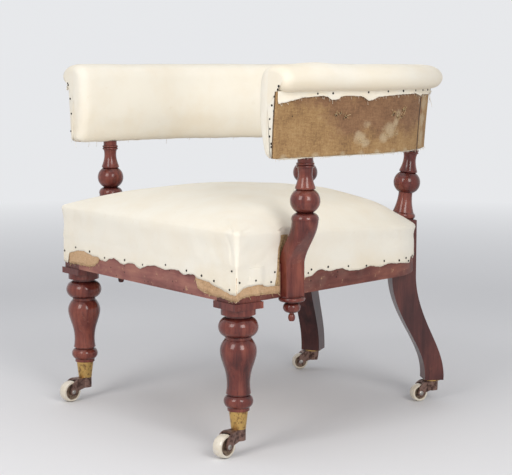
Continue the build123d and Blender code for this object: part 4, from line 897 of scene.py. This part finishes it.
def makeBowPad():
    loop = bowLoop()
    count = len(loop)
    normals = []
    for k in range(count):
        before, after = loop[k - 1], loop[(k + 1) % count]
        run = math.dist(before, after)
        normals.append(((after[1] - before[1]) / run, -(after[0] - before[0]) / run))
    # the loop runs over the top to the inside, so its outward side is on the right of the way along it
    endRound = bowShape["endRound"]
    backStart = bowShape["sectionCount"]
    middle = (sum(u for u, z in loop) / count, sum(z for u, z in loop) / count)
    rows = []

    def sectionRow(run, inset, shrink):
        row = []
        for k, ((u, z), (nu, nz)) in enumerate(zip(loop, normals)):
            outer, inner, edge, width = bowShape["roundness"]
            tight = outer + (inner - outer) * clamped((edge - u) / width)
            tight = bowShape["backTight"] if k >= backStart else tight
            out = u - nu * inset * tight
            rise = z - nz * inset * tight
            out += (middle[0] - out) * shrink
            rise += (middle[1] - rise) * shrink
            point = bowPoint(run, out, rise)
            if k < backStart:
                place, way = bowPlace(run)
                push = sum(lump(point, *kind) for kind in bowShape["lumps"])
                high, middleRun, reach = bowShape["topSwell"]
                push += high * math.exp(-(((run - middleRun) / reach) ** 2)) * max(0.0, nz)
                point += way * nu * push + Vector((0, 0, nz * push))
                hem = max(0.0, 1 - z / (9 * mm)) * ripple(run / (24 * mm), 6.0, 0)
                point.z -= bowShape["hem"] * max(-0.2, hem)
            row.append(point)
        return row

    runs = []
    steps = int((bowLength - 2 * endRound) / bowShape["columnStep"])
    for k in range(steps + 1):
        runs.append((endRound + (bowLength - 2 * endRound) * k / steps, 0.0, 0.0))
    ends = []
    for k in range(1, bowShape["endRows"] + 1):
        turn = math.pi / 2 * k / bowShape["endRows"]
        ends.append((endRound * (1 - math.sin(turn)), endRound * (1 - math.cos(turn)), 0.0))
    for shrink in bowShape["endShrink"]:
        ends.append((-bowShape["endCrown"] * math.sin(math.pi / 2 * shrink), endRound, shrink))
    front = list(reversed(ends))
    back = [(bowLength - run, inset, shrink) for run, inset, shrink in ends]
    stations = front + runs + back
    for run, inset, shrink in stations:
        rows.append(sectionRow(run, inset, shrink))
    points = [p for row in rows for p in row]
    faces = gridFaces(len(rows), count, True)
    closeEnd(points, faces, 0, count, turned=True)
    closeEnd(points, faces, (len(rows) - 1) * count, count)
    cloth = []
    soil = []
    creaseOut, creaseRise, creaseReach = bowShape["paintedCreaseShade"]
    girth = [0.0]
    for a, b in zip(loop, loop[1:]):
        girth.append(girth[-1] + math.dist(a, b))
    for run, inset, shrink in stations:
        for k, (u, z) in enumerate(loop):
            cloth.append((run, girth[k]))
            low = 1.0 - clamped(z / bowShape["lowTintReach"])
            # painted warm shade on the underside of the roll
            under = 1.0 - clamped((z - creaseRise) / creaseReach) if u > creaseOut else 0.0
            roll = 0.3 if u > 0 and z > 100 * mm else 0.0
            soil.append(low * 0.5 + under * 0.8 + roll + max(0.0, lump((run, z, 0), 110 * mm, 0.4)))
    for end in (0, len(stations) - 1):
        cloth.append((stations[end][0], 0.0))
        soil.append(0.0)
    return makePiece("bowPad", points, faces, calico, cloth, "calico", soil=soil)


padCloth = {
    "settings": {"quality": 4, "mass": 0.25, "tension_stiffness": 28, "compression_stiffness": 28,
                 "shear_stiffness": 12, "bending_stiffness": 1.2, "use_pressure": True,
                 "uniform_pressure_force": 1.0, "vertex_group_mass": "held"},
    "cap": 3 * mm,
    "frames": 14,
    "heldUnder": railTop + 3 * mm,
}


def swellPad(pad):
    # cloth under air pressure, with each point kept within the cap of where it started
    group = pad.vertex_groups.new(name="held")
    for vertex in pad.data.vertices:
        group.add([vertex.index], 1.0 if vertex.co.z < padCloth["heldUnder"] else 0.0, "REPLACE")
    start = [vertex.co.copy() for vertex in pad.data.vertices]
    cloth = pad.modifiers.new("swell", "CLOTH")
    for key, value in padCloth["settings"].items():
        setattr(cloth.settings, key, value)
    cloth.settings.effector_weights.gravity = 0
    cloth.collision_settings.use_collision = False
    cloth.point_cache.frame_start = 1
    cloth.point_cache.frame_end = padCloth["frames"]
    for step in range(1, padCloth["frames"] + 1):
        scene.frame_set(step)
    graph = bpy.context.evaluated_depsgraph_get()
    moved = [vertex.co.copy() for vertex in pad.evaluated_get(graph).data.vertices]
    pad.modifiers.remove(cloth)
    for vertex, before, after in zip(pad.data.vertices, start, moved):
        step = after - before
        if step.length > padCloth["cap"]:
            step *= padCloth["cap"] / step.length
        vertex.co = before + step
    pad.vertex_groups.clear()
    pad.data.update()
    scene.frame_set(1)


# Hessian over the outside of the bow

hessianPanel = {
    "top": 124 * mm,
    "bottom": 1.6 * mm,
    "wrap": 7 * mm,  # turned round the front corner of the right arm
    "shortfall": 12 * mm,  # bare end of the left arm, where the calico turns round
    "thickness": 1.1 * mm,
    "stand": 0.9 * mm,  # off the pad's face
    "sag": 1.4 * mm,
    "crease": (0.9 * mm, 26 * mm, 120 * mm),  # depth, width and height
    "ragged": (1.5 * mm, 11 * mm),  # torn lower edge: depth and width
    "columnStep": 3 * mm,
    "rows": 44,
    # marks on the outside: run along the bow, rise, reach, strength, in millimetres
    "stains": [(160, 95, 60, 0.8), (180, 66, 56, 0.8), (215, 84, 64, 0.9), (265, 80, 66, 0.9),
               (310, 90, 66, 0.9), (350, 76, 62, 0.9), (388, 84, 46, 0.9), (250, 110, 60, 0.9),
               (340, 112, 60, 0.9), (110, 114, 34, 0.9), (60, 120, 46, 0.6), (200, 48, 30, 0.6),
               (255, 50, 30, 0.6), (350, 52, 34, 0.6), (780, 55, 90, 0.6), (1000, 70, 70, 0.7),
               (1300, 50, 80, 0.6)],
    "faded": [(208, 34, 22, 1.0), (224, 24, 16, 0.9), (228, 58, 14, 0.6), (290, 46, 27, 1.0),
              (306, 60, 18, 0.9), (272, 32, 18, 1.0), (312, 78, 16, 0.6), (432, 60, 30, 1.0),
              (432, 25, 30, 1.0), (432, 95, 30, 1.0), (20, 2, 12, 0.8), (60, 2, 10, 0.7),
              (100, 2, 12, 0.9), (165, 2, 12, 0.9), (215, 2, 12, 0.8), (255, 2, 12, 0.9),
              (300, 2, 12, 0.8), (345, 2, 12, 0.9), (900, 60, 40, 0.5), (1200, 60, 40, 0.5)],
    "holes": [(144, 78, 4, 1.0), (156, 81, 4, 1.0), (170, 74, 4, 1.0), (163, 69, 3, 0.9), (296, 76, 6, 1.0),
              (310, 72, 5, 1.0), (328, 83, 6, 1.0), (324, 70, 4, 0.9), (38, 79, 3, 0.8)],
    # upright lines: run, strength, half width, bottom and top
    "seams": [(69, 0.42, 3, 12, 101), (404, 0.95, 6, 0, 118)],
}


def spotWeight(spots, run, rise):
    total = 0.0
    for spotRun, spotRise, reach, strength in spots:
        gone = math.hypot(run / mm - spotRun, (rise / mm - spotRise) * 1.15) / reach
        gone += 0.35 * ripple(run / (14 * mm), rise / (14 * mm), spotRun)
        total = max(total, strength * max(0.0, 1.0 - gone))
    return min(1.0, 1.6 * total)


def makeHessian():
    steps = int(bowLength / hessianPanel["columnStep"])
    wrap = hessianPanel["wrap"]
    far = bowLength - hessianPanel["shortfall"]
    depth, width, height = hessianPanel["crease"]
    tear, tearWidth = hessianPanel["ragged"]
    runs = [-wrap, -wrap / 2, -1.0 * mm] + [far * k / steps for k in range(steps + 1)]
    points = []
    cloth = []
    soil = []
    faded = []
    bare = []
    for k in range(hessianPanel["rows"]):
        share = k / (hessianPanel["rows"] - 1)
        for run in runs:
            inside = min(max(run, 0.0), bowLength)
            torn = tear * ripple(run / tearWidth, 0.0, 7.0) * (1 - share) ** 4
            low = hessianPanel["bottom"] + torn
            rise = low + (hessianPanel["top"] - hessianPanel["bottom"] - torn) * share
            sag = -hessianPanel["sag"] * math.sin(math.pi * share)
            crease = depth * ripple(run / width, rise / height, 1.0)
            out = faceOut(rise) + hessianPanel["stand"] + sag + crease
            point = bowPoint(inside, out, rise)
            past = abs(run - inside)
            if past > 0:
                point = bowPoint(inside, out - past, rise) - Vector((0, hessianPanel["stand"], 0))
            points.append(point)
            cloth.append((run, rise))
            soil.append(spotWeight(hessianPanel["stains"], run, rise))
            faded.append(spotWeight(hessianPanel["faded"], run, rise))
            mark = spotWeight(hessianPanel["holes"], run, rise) + (0.5 if run < -2 * mm else 0.0)
            for seamRun, strength, half, bottom, top in hessianPanel["seams"]:
                if bottom * mm < rise < top * mm:
                    mark = max(mark, strength * max(0.0, 1 - abs(run / mm - seamRun) / half))
            bare.append(min(1.0, mark))
    faces = gridFaces(hessianPanel["rows"], len(runs), False)
    panel = makePiece("outerHessian", points, faces, hessian, cloth, "hessian",
                      soil=soil, faded=faded, bare=bare)
    return thickened(panel, hessianPanel["thickness"])


# Raw edge of calico that hangs from the tacks under the roll

tornStrip = {
    "top": 125 * mm, "drop": 13 * mm, "wave": 4 * mm, "pitch": 47 * mm, "flare": 4.5 * mm,
    "columnStep": 2.5 * mm, "rows": 9, "thickness": 0.7 * mm,
    # lower edge on the near arm: run along the bow and rise, in millimetres
    "nearArm": [(0, 102), (14, 104), (34, 108), (54, 112), (78, 114), (106, 115), (118, 113),
                (130, 107), (144, 108), (150, 113), (164, 114.5), (202, 113), (212, 109), (220, 104),
                (234, 106), (248, 111), (274, 113), (310, 114.5), (338, 115), (364, 116), (384, 110),
                (396, 113), (414, 113), (450, 112)],
}


def stripDrop(run):
    ragged = 1.3 * mm * ripple(run / (6 * mm), 4.0, 0)
    if run / mm < tornStrip["nearArm"][-1][0]:
        return tornStrip["top"] - between(tornStrip["nearArm"], run / mm) * mm + ragged
    wander = 9 * mm * ripple(run / (60 * mm), 0, 0)
    pull = abs(math.sin(math.pi * (run + wander) / tornStrip["pitch"]))
    broad = 3.5 * mm * ripple(run / (70 * mm), 8.0, 0)
    return tornStrip["drop"] - tornStrip["wave"] * pull + ragged + broad


def makeTornStrip():
    steps = int(bowLength / tornStrip["columnStep"])
    points = []
    cloth = []
    soil = []
    for k in range(tornStrip["rows"]):
        share = k / (tornStrip["rows"] - 1)
        for step in range(steps + 1):
            run = bowLength * step / steps
            drop = stripDrop(run) * share
            rise = tornStrip["top"] - drop
            curl = ripple(run / (17 * mm), share, 2.0)
            out = faceOut(rise) + 2.0 * mm + tornStrip["flare"] * share * share * (0.75 + 0.9 * curl)
            points.append(bowPoint(run, max(out, faceOut(rise) + 1.8 * mm), rise))
            cloth.append((run, rise))
            soil.append(0.25 + 0.9 * max(0.0, share * ripple(run / (45 * mm), 1.0, share)))
    faces = gridFaces(tornStrip["rows"], steps + 1, False)
    strip = makePiece("rollRawEdge", points, faces, calico, cloth, "calico", soil=soil)
    return thickened(strip, tornStrip["thickness"])


# Webbing, springs and canvas under the seat

underSeat = {  # in millimetres
    "strapWidth": 50, "strapThickness": 1.2, "margin": 20,
    "crossRows": (-233, -118, 7, 132), "longColumns": (-80, 0, 80),
    "springColumns": (-150, 0, 150), "springRows": (-118, 7, 132),
    "endRadius": 34, "waistRadius": 23.5, "wire": 3.6, "turns": 4,
    "canvasRise": 40, "canvasInset": 20, "canvasSlope": 42, "canvasThickness": 1.0,
}


def makeWebbing():
    points = []
    faces = []
    cloth = []
    soil = []
    wide = 9
    long = 60

    def strap(start, end, across, level):
        first = len(points)
        half = underSeat["strapWidth"] * mm / 2
        for k in range(long):
            spot = start + (end - start) * (k / (long - 1))
            sag = 1.2 * mm * math.sin(math.pi * k / (long - 1))
            for j in range(wide):
                side = -half + 2 * half * j / (wide - 1)
                points.append(spot + across * side + Vector((0, 0, level - sag)))
                cloth.append(((spot - start).length, side))
                soil.append(1.0 if j in (1, wide - 2) else 0.0)
        faces.extend(gridFaces(long, wide, False, first))

    thick = underSeat["strapThickness"] * mm
    for row in underSeat["crossRows"]:
        y = row * mm
        reach = railFace(y + underSeat["strapWidth"] * mm) - underSeat["margin"] * mm
        strap(Vector((-reach, y, 0)), Vector((reach, y, 0)), Vector((0, 1, 0)), railBottom - thick / 2)
    for column in underSeat["longColumns"]:
        margin = underSeat["margin"] * mm
        start = Vector((column * mm, frontY + margin, 0))
        strap(start, Vector((column * mm, backY - margin, 0)), Vector((1, 0, 0)), railBottom - 1.6 * thick)
    webbing = makePiece("seatStraps", points, faces, webbingJute, cloth, "webbing", soil=soil)
    return thickened(webbing, 0.9 * thick)


def makeSprings():
    points = []
    faces = []
    sides = 8
    stepsPerTurn = 30
    wire = underSeat["wire"] * mm
    endRadius = underSeat["endRadius"]
    height = railTop + underSeat["canvasRise"] * mm - 2.4 * mm - wire - railBottom
    steps = stepsPerTurn * underSeat["turns"]
    for row in underSeat["springRows"]:
        for column in underSeat["springColumns"]:
            foot = Vector((column * mm, row * mm, railBottom + wire / 2 + 0.2 * mm))
            first = len(points)
            line = []
            for k in range(steps + 1):
                share = k / steps
                pinch = 4 * share * (1 - share)
                radius = (endRadius - (endRadius - underSeat["waistRadius"]) * pinch) * mm
                turn = 2 * math.pi * underSeat["turns"] * share
                line.append(foot + Vector((radius * math.cos(turn), radius * math.sin(turn), height * share)))
            for k, spot in enumerate(line):
                way = (line[min(k + 1, steps)] - line[max(k - 1, 0)]).normalized()
                out = Vector((spot.x - foot.x, spot.y - foot.y, 0)).normalized()
                up = way.cross(out)
                for j in range(sides):
                    turn = 2 * math.pi * j / sides
                    points.append(spot + (out * math.cos(turn) + up * math.sin(turn)) * wire / 2)
            faces.extend(gridFaces(steps + 1, sides, True, first))
            faces.append(tuple(first + j for j in range(sides)))
            faces.append(tuple(first + steps * sides + j for j in reversed(range(sides))))
    return makePiece("seatSprings", points, faces, springSteel, slot="spring_steel")


def makeCanvas():
    rows = []
    steps = 6
    for k in range(steps + 1):
        share = k / steps
        inset = (underSeat["canvasInset"] + underSeat["canvasSlope"] * share) * mm
        rise = underSeat["canvasRise"] * mm * math.sin(math.pi / 2 * share)
        rows.append([Vector((p.x, p.y, railTop + 0.7 * mm + rise)) for p, n in seatOutline(-inset, 8 * mm)])
    crownPlace = Vector((0, seatPlan["crownY"], 0))
    top = rows[-1]
    for f in (0.85, 0.68, 0.5, 0.33, 0.16):
        rows.append([Vector((p.x * f, crownPlace.y + (p.y - crownPlace.y) * f, p.z)) for p in top])
    for row in rows:
        clearOfUprights(row)
    count = len(rows[0])
    points = [p for row in rows for p in row]
    faces = gridFaces(len(rows), count, True)
    closeEnd(points, faces, (len(rows) - 1) * count, count)
    cloth = [(p.x, p.y) for p in points]
    canvas = makePiece("springCanvas", points, faces, scrimHessian, cloth, "hessian")
    return thickened(canvas, underSeat["canvasThickness"] * mm)


# Scrim of hessian that shows where the calico is torn, on the front and on the right side

scrim = {
    "front": [[(-291, 306), (-271, 307), (-239, 307), (-209, 307), (-190, 310), (-174, 318), (-166, 327)],
              [(184, 328), (191, 313), (201, 308), (236, 303), (261, 304), (286, 301), (314.8, 300)]],
    "side": [[(-322.7, 300), (-306, 307), (-288, 308), (-256, 307), (-220, 305), (-206, 305)],
             [(-157, 305), (-150, 309), (-142, 318), (-132, 328)]],
    "top": 346,
    "out": 0.7 * mm,
    "thickness": 0.5 * mm,
}


def scrimSide(y):
    blockFace = frontLegX + seatPlan["blockHalf"] if y < frontY + 2 * seatPlan["blockHalf"] else 0
    return max(railFace(y), blockFace) + scrim["out"], y


def makeScrim():
    points = []
    faces = []
    cloth = []
    soil = []
    rows = 7

    def patch(edge, spotOf):
        start, end = edge[0][0], edge[-1][0]
        columns = max(4, int(abs(end - start) / 3))
        first = len(points)
        for k in range(rows):
            share = k / (rows - 1)
            for j in range(columns + 1):
                along = start + (end - start) * j / columns
                low = between(edge, along) + 1.6 * ripple(along / 6.0, 3.0, 0)
                z = (low + (scrim["top"] - low) * share) * mm
                spot = spotOf(along * mm)
                points.append(Vector((spot[0], spot[1], z)))
                cloth.append((along * mm, z))
                soil.append(0.12 * (1 - share))
        faces.extend(gridFaces(rows, columns + 1, False, first))

    for edge in scrim["front"]:
        patch(edge, lambda x: (x, frontY - scrim["out"]))
    for edge in scrim["side"]:
        patch(edge, scrimSide)
    piece = makePiece("seatScrim", points, faces, scrimHessian, cloth, "hessian", soil=soil)
    return thickened(piece, scrim["thickness"])


# Geometry Nodes: heads of tacks on points, and strands of thread or straw on points

def scatterTree(name, finish, strand):
    tree = bpy.data.node_groups.new(name, "GeometryNodeTree")
    sockets = {"Geometry": "Geometry", "Radius": "Float", "Length": "Float", "Least": "Float",
               "Most": "Float", "Seed": "Int"}
    for label, kind in sockets.items():
        tree.interface.new_socket(label, in_out="INPUT", socket_type="NodeSocket" + kind)
    tree.interface.new_socket("Geometry", in_out="OUTPUT", socket_type="NodeSocketGeometry")
    g = Nodes(tree)
    points, radius, length, least, most, seed = [g.node("NodeGroupInput", out=label) for label in sockets]
    if strand:
        sizes = {"Vertices": 4, "Side Segments": 2, "Depth": length}
        sizes.update({"Radius Bottom": radius, "Radius Top": radius})
        shape = g.node("GeometryNodeMeshCone", {}, sizes, out="Mesh")
    else:
        sizes = {"Segments": 10, "Rings": 6, "Radius": radius}
        ball = g.node("GeometryNodeMeshUVSphere", {}, sizes, out="Mesh")
        flat = g.node("ShaderNodeCombineXYZ", {}, {"X": 1.0, "Y": 1.0, "Z": length / radius})
        shape = g.node("GeometryNodeTransform", {}, {"Geometry": ball, "Scale": flat}, out="Geometry")
    vector = {"data_type": "FLOAT_VECTOR"}
    way = g.node("GeometryNodeInputNamedAttribute", vector, {"Name": "way"}, out="Attribute")
    turn = g.node("FunctionNodeAlignRotationToVector", {"axis": "Z"}, {"Vector": way}, out="Rotation")
    floatLow, floatHigh, floatOut = 2, 3, 1  # the random node's sockets for a plain number
    limits = {floatLow: least, floatHigh: most, "Seed": seed}
    scale = g.node("FunctionNodeRandomValue", {"data_type": "FLOAT"}, limits, out=floatOut)
    spread = {"Points": points, "Instance": shape, "Rotation": turn, "Scale": scale}
    placed = g.node("GeometryNodeInstanceOnPoints", {}, spread, out="Instances")
    real = g.node("GeometryNodeRealizeInstances", {}, {"Geometry": placed}, out="Geometry")
    painted = g.node("GeometryNodeSetMaterial", {}, {"Geometry": real, "Material": finish}, out="Geometry")
    g.node("NodeGroupOutput", {}, {"Geometry": painted})
    return tree


def scatter(name, tree, spots, sizes, seed):
    # spots are points and the ways that the shapes point in; sizes are radius, length, least and most scale
    mesh = bpy.data.meshes.new(name + "Points")
    mesh.from_pydata([tuple(p) for p, way in spots], [], [])
    layer = mesh.attributes.new("way", "FLOAT_VECTOR", "POINT")
    for item, (p, way) in zip(layer.data, spots):
        item.vector = way
    holder = bpy.data.objects.new(name, mesh)
    scene.collection.objects.link(holder)
    modifier = holder.modifiers.new("scatter", "NODES")
    modifier.node_group = tree
    values = dict(zip(("Radius", "Length", "Least", "Most"), sizes), Seed=seed)
    for item in tree.interface.items_tree:
        if item.in_out == "INPUT" and item.name in values:
            modifier[item.identifier] = values[item.name]
    applyModifiers(holder)
    holder.data.shade_smooth()
    return holder


tackSet = {
    "sizes": (2.3 * mm, 1.2 * mm, 0.85, 1.1),  # radius and height of a head, least and most scale
    "pitch": 52 * mm,
    "stand": 0.9 * mm,  # off the calico
    "seeds": (4, 7),  # of the seat and of the bow
    # tacks of the seat: along the front and along the right side, with their heights, in millimetres
    "front": [(-308, 332), (-261, 344), (-203, 341), (-143, 334), (-65, 338), (2, 336), (84, 345),
              (156, 342), (206, 338), (246, 333), (295, 322), (302, 358)],
    "side": [(-316, 337), (-275, 337), (-232, 329), (-222, 347), (-128, 335), (-119, 341), (-70, 341),
             (-9, 336), (47, 331), (104, 335), (153, 331), (184, 327)],
    # tacks under the roll of the near arm: run along the bow and rise
    "roll": [(94, 119), (132, 119.5), (222, 120), (272, 121), (318, 121), (366, 121), (405, 121)],
    "backTurns": (20, 33, 44, 70, 80),  # degrees round a back corner of the seat
    "backLevel": 333,
    "back": [(-55, 334), (0, 332), (55, 334)],
    # front ends of the arms: height above the underside of the bow, and how far in from the outer face
    "rightEnd": [(134, -4), (128, -2), (115, 7), (99, 13), (89, 6), (74, 17), (56, 15), (42, 15),
                 (29, 9), (23, 8)],
    "leftEnd": [(130, 5), (126, 7), (96, 12), (63, 13.5), (24, 6.5)],
}


def seatTackSpots():
    spots = []
    taper = seatPlan["taper"]
    out = seatPlan["lap"] + tackSet["stand"]
    backSpots = [(Vector((x * mm, backY + out, z * mm)), Vector((0, 1, 0))) for x, z in tackSet["back"]]
    for x, z in tackSet["front"]:
        spots.append((Vector((x * mm, frontY - out, z * mm)), Vector((0, -1, 0))))
    for sign in (1, -1):
        for y, z in tackSet["side"]:
            face = railFace(y * mm)
            if y * mm < frontY + 2 * seatPlan["blockHalf"]:
                face = max(face, frontLegX + seatPlan["blockHalf"])
            shift = 0.0 if sign > 0 else 9 * mm * ripple(y / 30, 2, 2)
            spots.append((Vector((sign * (face + out), y * mm + shift * 0.3, z * mm + shift * 0.4)),
                          Vector((sign * math.cos(taper), math.sin(taper), 0))))
        for turn in tackSet["backTurns"]:
            way = Vector((sign * math.cos(math.radians(turn)), math.sin(math.radians(turn)), 0))
            ring = seatPlan["cornerRadius"] + out
            spots.append((Vector((sign * cornerX, cornerY, tackSet["backLevel"] * mm)) + way * ring, way))
        spots.append(backSpots[sign + 1])
    spots.append(backSpots[1])
    return spots


def bowTackSpots():
    spots = []
    count = round(bowLength / tackSet["pitch"])
    nearArm = [(run * mm, rise * mm) for run, rise in tackSet["roll"]]
    places = list(nearArm)
    for k in range(count):
        run = bowLength * (k + 0.5 + 0.22 * ripple(k * 0.7, 0.3, 0)) / count
        if run > nearArm[-1][0] + tackSet["pitch"] / 2:
            places.append((run, nearArm[-1][1]))
    for run, rise in places:
        place, way = bowPlace(run)
        spots.append((bowPoint(run, faceOut(rise) + 3.0 * mm, rise), way))
    for sign, ends in ((1, tackSet["rightEnd"]), (-1, tackSet["leftEnd"])):
        for level, inset in ends:
            x = bowRadius + faceOut(level * mm) - inset * mm
            spot = Vector((sign * x, armFrontY - 1.2 * mm, bowBottom + level * mm))
            spots.append((spot, Vector((0, -1, 0))))
    return spots


# Loose threads at the torn edges, and straw at the worn places

loose = {
    "seed": 11,
    "scaleSeeds": (3, 5, 6),  # of the threads, the tails and the straw
    # radius, length, least and most scale
    "threadSizes": (0.32 * mm, 7 * mm, 0.4, 1.1),
    "tailSizes": (0.32 * mm, 7 * mm, 1.0, 1.0),
    "strawSizes": (0.45 * mm, 8 * mm, 0.4, 1.1),
    "hemPitch": 5 * mm, "tornPitch": 7 * mm,
    # long threads: run along the bow, rise, and how many times as long
    "tails": [(476, 112, 2.2), (484, 111, 3.6), (490, 112, 1.6), (497, 112, 2.8), (503, 111, 1.4),
              (132, 106, 1.3), (221, 103, 1.4), (386, 108, 1.5), (1290, 1, 2.1), (1231, 1, 1.2),
              (1395, 1, 1.0), (1180, 1, 1.1), (1126, 1, 0.9), (1480, 1, 1.6), (1500, 1, 2.4),
              (1535, 0, 1.8)],
    "tufts": [(144, 78, 7), (156, 81, 7), (170, 74, 7), (296, 77, 12), (310, 71, 10), (328, 83, 12),
              (324, 71, 8), (207, 30, 6), (280, 37, 6), (303, 40, 6)],
    "scrimPitch": 6 * mm,
}


def looseThreadSpots():
    draw = random.Random(loose["seed"])
    spots = []

    def hang(run, rise, out, spread):
        place, way = bowPlace(run)
        along = Vector((-way.y, way.x, 0))
        lean = Vector((0, 0, -1)) + along * draw.uniform(-spread, spread)
        lean += way * draw.uniform(-0.1, 0.5 * spread)
        spots.append((bowPoint(run, out, rise), lean.normalized()))

    run = 3 * mm
    while run < bowLength:
        hang(run, hessianPanel["bottom"] + 1.5 * mm, faceOut(0.0) + hessianPanel["stand"], 1.2)
        run += loose["hemPitch"] * draw.uniform(0.4, 1.6)
    run = 4 * mm
    while run < bowLength:
        rise = tornStrip["top"] - stripDrop(run) + 1.0 * mm
        hang(run, rise, faceOut(rise) + 3.2 * mm, 1.0)
        run += loose["tornPitch"] * draw.uniform(0.4, 1.6)
    return spots


def tailSpots():
    draw = random.Random(loose["seed"] + 1)
    spots = []
    for run, rise, times in loose["tails"]:
        place, way = bowPlace(run * mm)
        out = faceOut(rise * mm) + 3.0 * mm if rise > 50 else 8 * mm
        spot = bowPoint(run * mm, out, rise * mm)
        lean = Vector((0, 0, -1)) + way * draw.uniform(0.0, 0.12) + Vector((draw.uniform(-0.2, 0.2), 0, 0))
        # a long thread is several lengths end to end, each turned a little
        for part in range(max(1, round(times))):
            spots.append((spot, lean.normalized()))
            spot = spot + lean.normalized() * loose["tailSizes"][1] * 0.98
            lean = lean + Vector((draw.uniform(-0.25, 0.25), draw.uniform(-0.25, 0.25), 0))
    return spots


def strawSpots():
    draw = random.Random(loose["seed"] + 2)
    spots = []
    for run, rise, count in loose["tufts"]:
        place, way = bowPlace(run * mm)
        along = Vector((-way.y, way.x, 0))
        for k in range(count):
            turn = draw.uniform(0, math.tau)
            lean = way * draw.uniform(0.12, 0.45) + along * math.cos(turn) + Vector((0, 0, math.sin(turn)))
            shift = draw.uniform(-4, 4) * mm
            height = (rise + draw.uniform(-4, 4)) * mm
            spot = bowPoint(run * mm + shift, faceOut(rise * mm) + 0.8 * mm, height)
            spots.append((spot, lean.normalized()))
    for edge, onFront in [(e, True) for e in scrim["front"]] + [(e, False) for e in scrim["side"]]:
        along = edge[0][0] * mm
        while along < edge[-1][0] * mm:
            z = between(edge, along / mm) * mm + 1.5 * mm
            if onFront:
                spot, way = Vector((along, frontY - scrim["out"] - 0.3 * mm, z)), Vector((0, -1, 0))
                side = Vector((1, 0, 0))
            else:
                x, y = scrimSide(along)
                spot, way = Vector((x + 0.3 * mm, y, z)), Vector((1, 0, 0))
                side = Vector((0, 1, 0))
            lean = Vector((0, 0, draw.uniform(-1, 0.4))) + side * draw.uniform(-1, 1)
            lean += way * draw.uniform(0.03, 0.3)
            spots.append((spot, lean.normalized()))
            along += loose["scrimPitch"] * draw.uniform(0.3, 1.7)
    return spots


def finishPiece(piece, *replaced):
    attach(piece, "chair")
    if replaced:
        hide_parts(*replaced)


# Build

makeCamera()
makeLights()
makeSky()
dressNodes()
print("camera, lights and node finishes ready")

seatPad = makeSeatPad()
swellPad(seatPad)
finishPiece(seatPad, "seat_cover", "seat_stuffing")
print("seat pad ready")

bowPad = makeBowPad()
finishPiece(bowPad, "bow_cover", "bow_stuffing", "bow_inner_hessian")
print("bow pad ready")

outerHessian = makeHessian()
finishPiece(outerHessian, "bow_outer_hessian")
rollRawEdge = makeTornStrip()
finishPiece(rollRawEdge)
seatScrim = makeScrim()
finishPiece(seatScrim)
threadSeed, tailSeed, strawSeed = loose["scaleSeeds"]
strandTree = scatterTree("strands", thread, strand=True)
looseThreads = scatter("looseThreads", strandTree, looseThreadSpots(), loose["threadSizes"], threadSeed)
finishPiece(looseThreads)
longThreads = scatter("longThreads", strandTree, tailSpots(), loose["tailSizes"], tailSeed)
finishPiece(longThreads)
strawTree = scatterTree("strawBits", straw, strand=True)
strawTufts = scatter("strawTufts", strawTree, strawSpots(), loose["strawSizes"], strawSeed)
finishPiece(strawTufts)
print("hessian and raw edges ready")

seatStraps = makeWebbing()
finishPiece(seatStraps, "seat_webbing")
seatSprings = makeSprings()
finishPiece(seatSprings, "seat_springs")
springCanvas = makeCanvas()
finishPiece(springCanvas, "seat_canvas")
print("webbing, springs and canvas ready")

tackTree = scatterTree("tackHeads", iron, strand=False)
seatSeed, bowSeed = tackSet["seeds"]
seatTackHeads = scatter("seatTackHeads", tackTree, seatTackSpots(), tackSet["sizes"], seatSeed)
finishPiece(seatTackHeads, "seat_tacks")
bowTackHeads = scatter("bowTackHeads", tackTree, bowTackSpots(), tackSet["sizes"], bowSeed)
finishPiece(bowTackHeads, "bow_tacks")
print("tacks ready")

floorMesh = bpy.data.meshes.new("floor")
floorSides = 48
floorTurns = [math.tau * k / floorSides for k in range(floorSides)]
floorRing = [(studio["floorRadius"] * math.cos(turn), studio["floorRadius"] * math.sin(turn), -0.2 * mm)
             for turn in floorTurns]
floorMesh.from_pydata(floorRing, [], [tuple(range(floorSides))])
floorMesh.materials.append(floorPaint())
floor = bpy.data.objects.new("floor", floorMesh)
scene.collection.objects.link(floor)
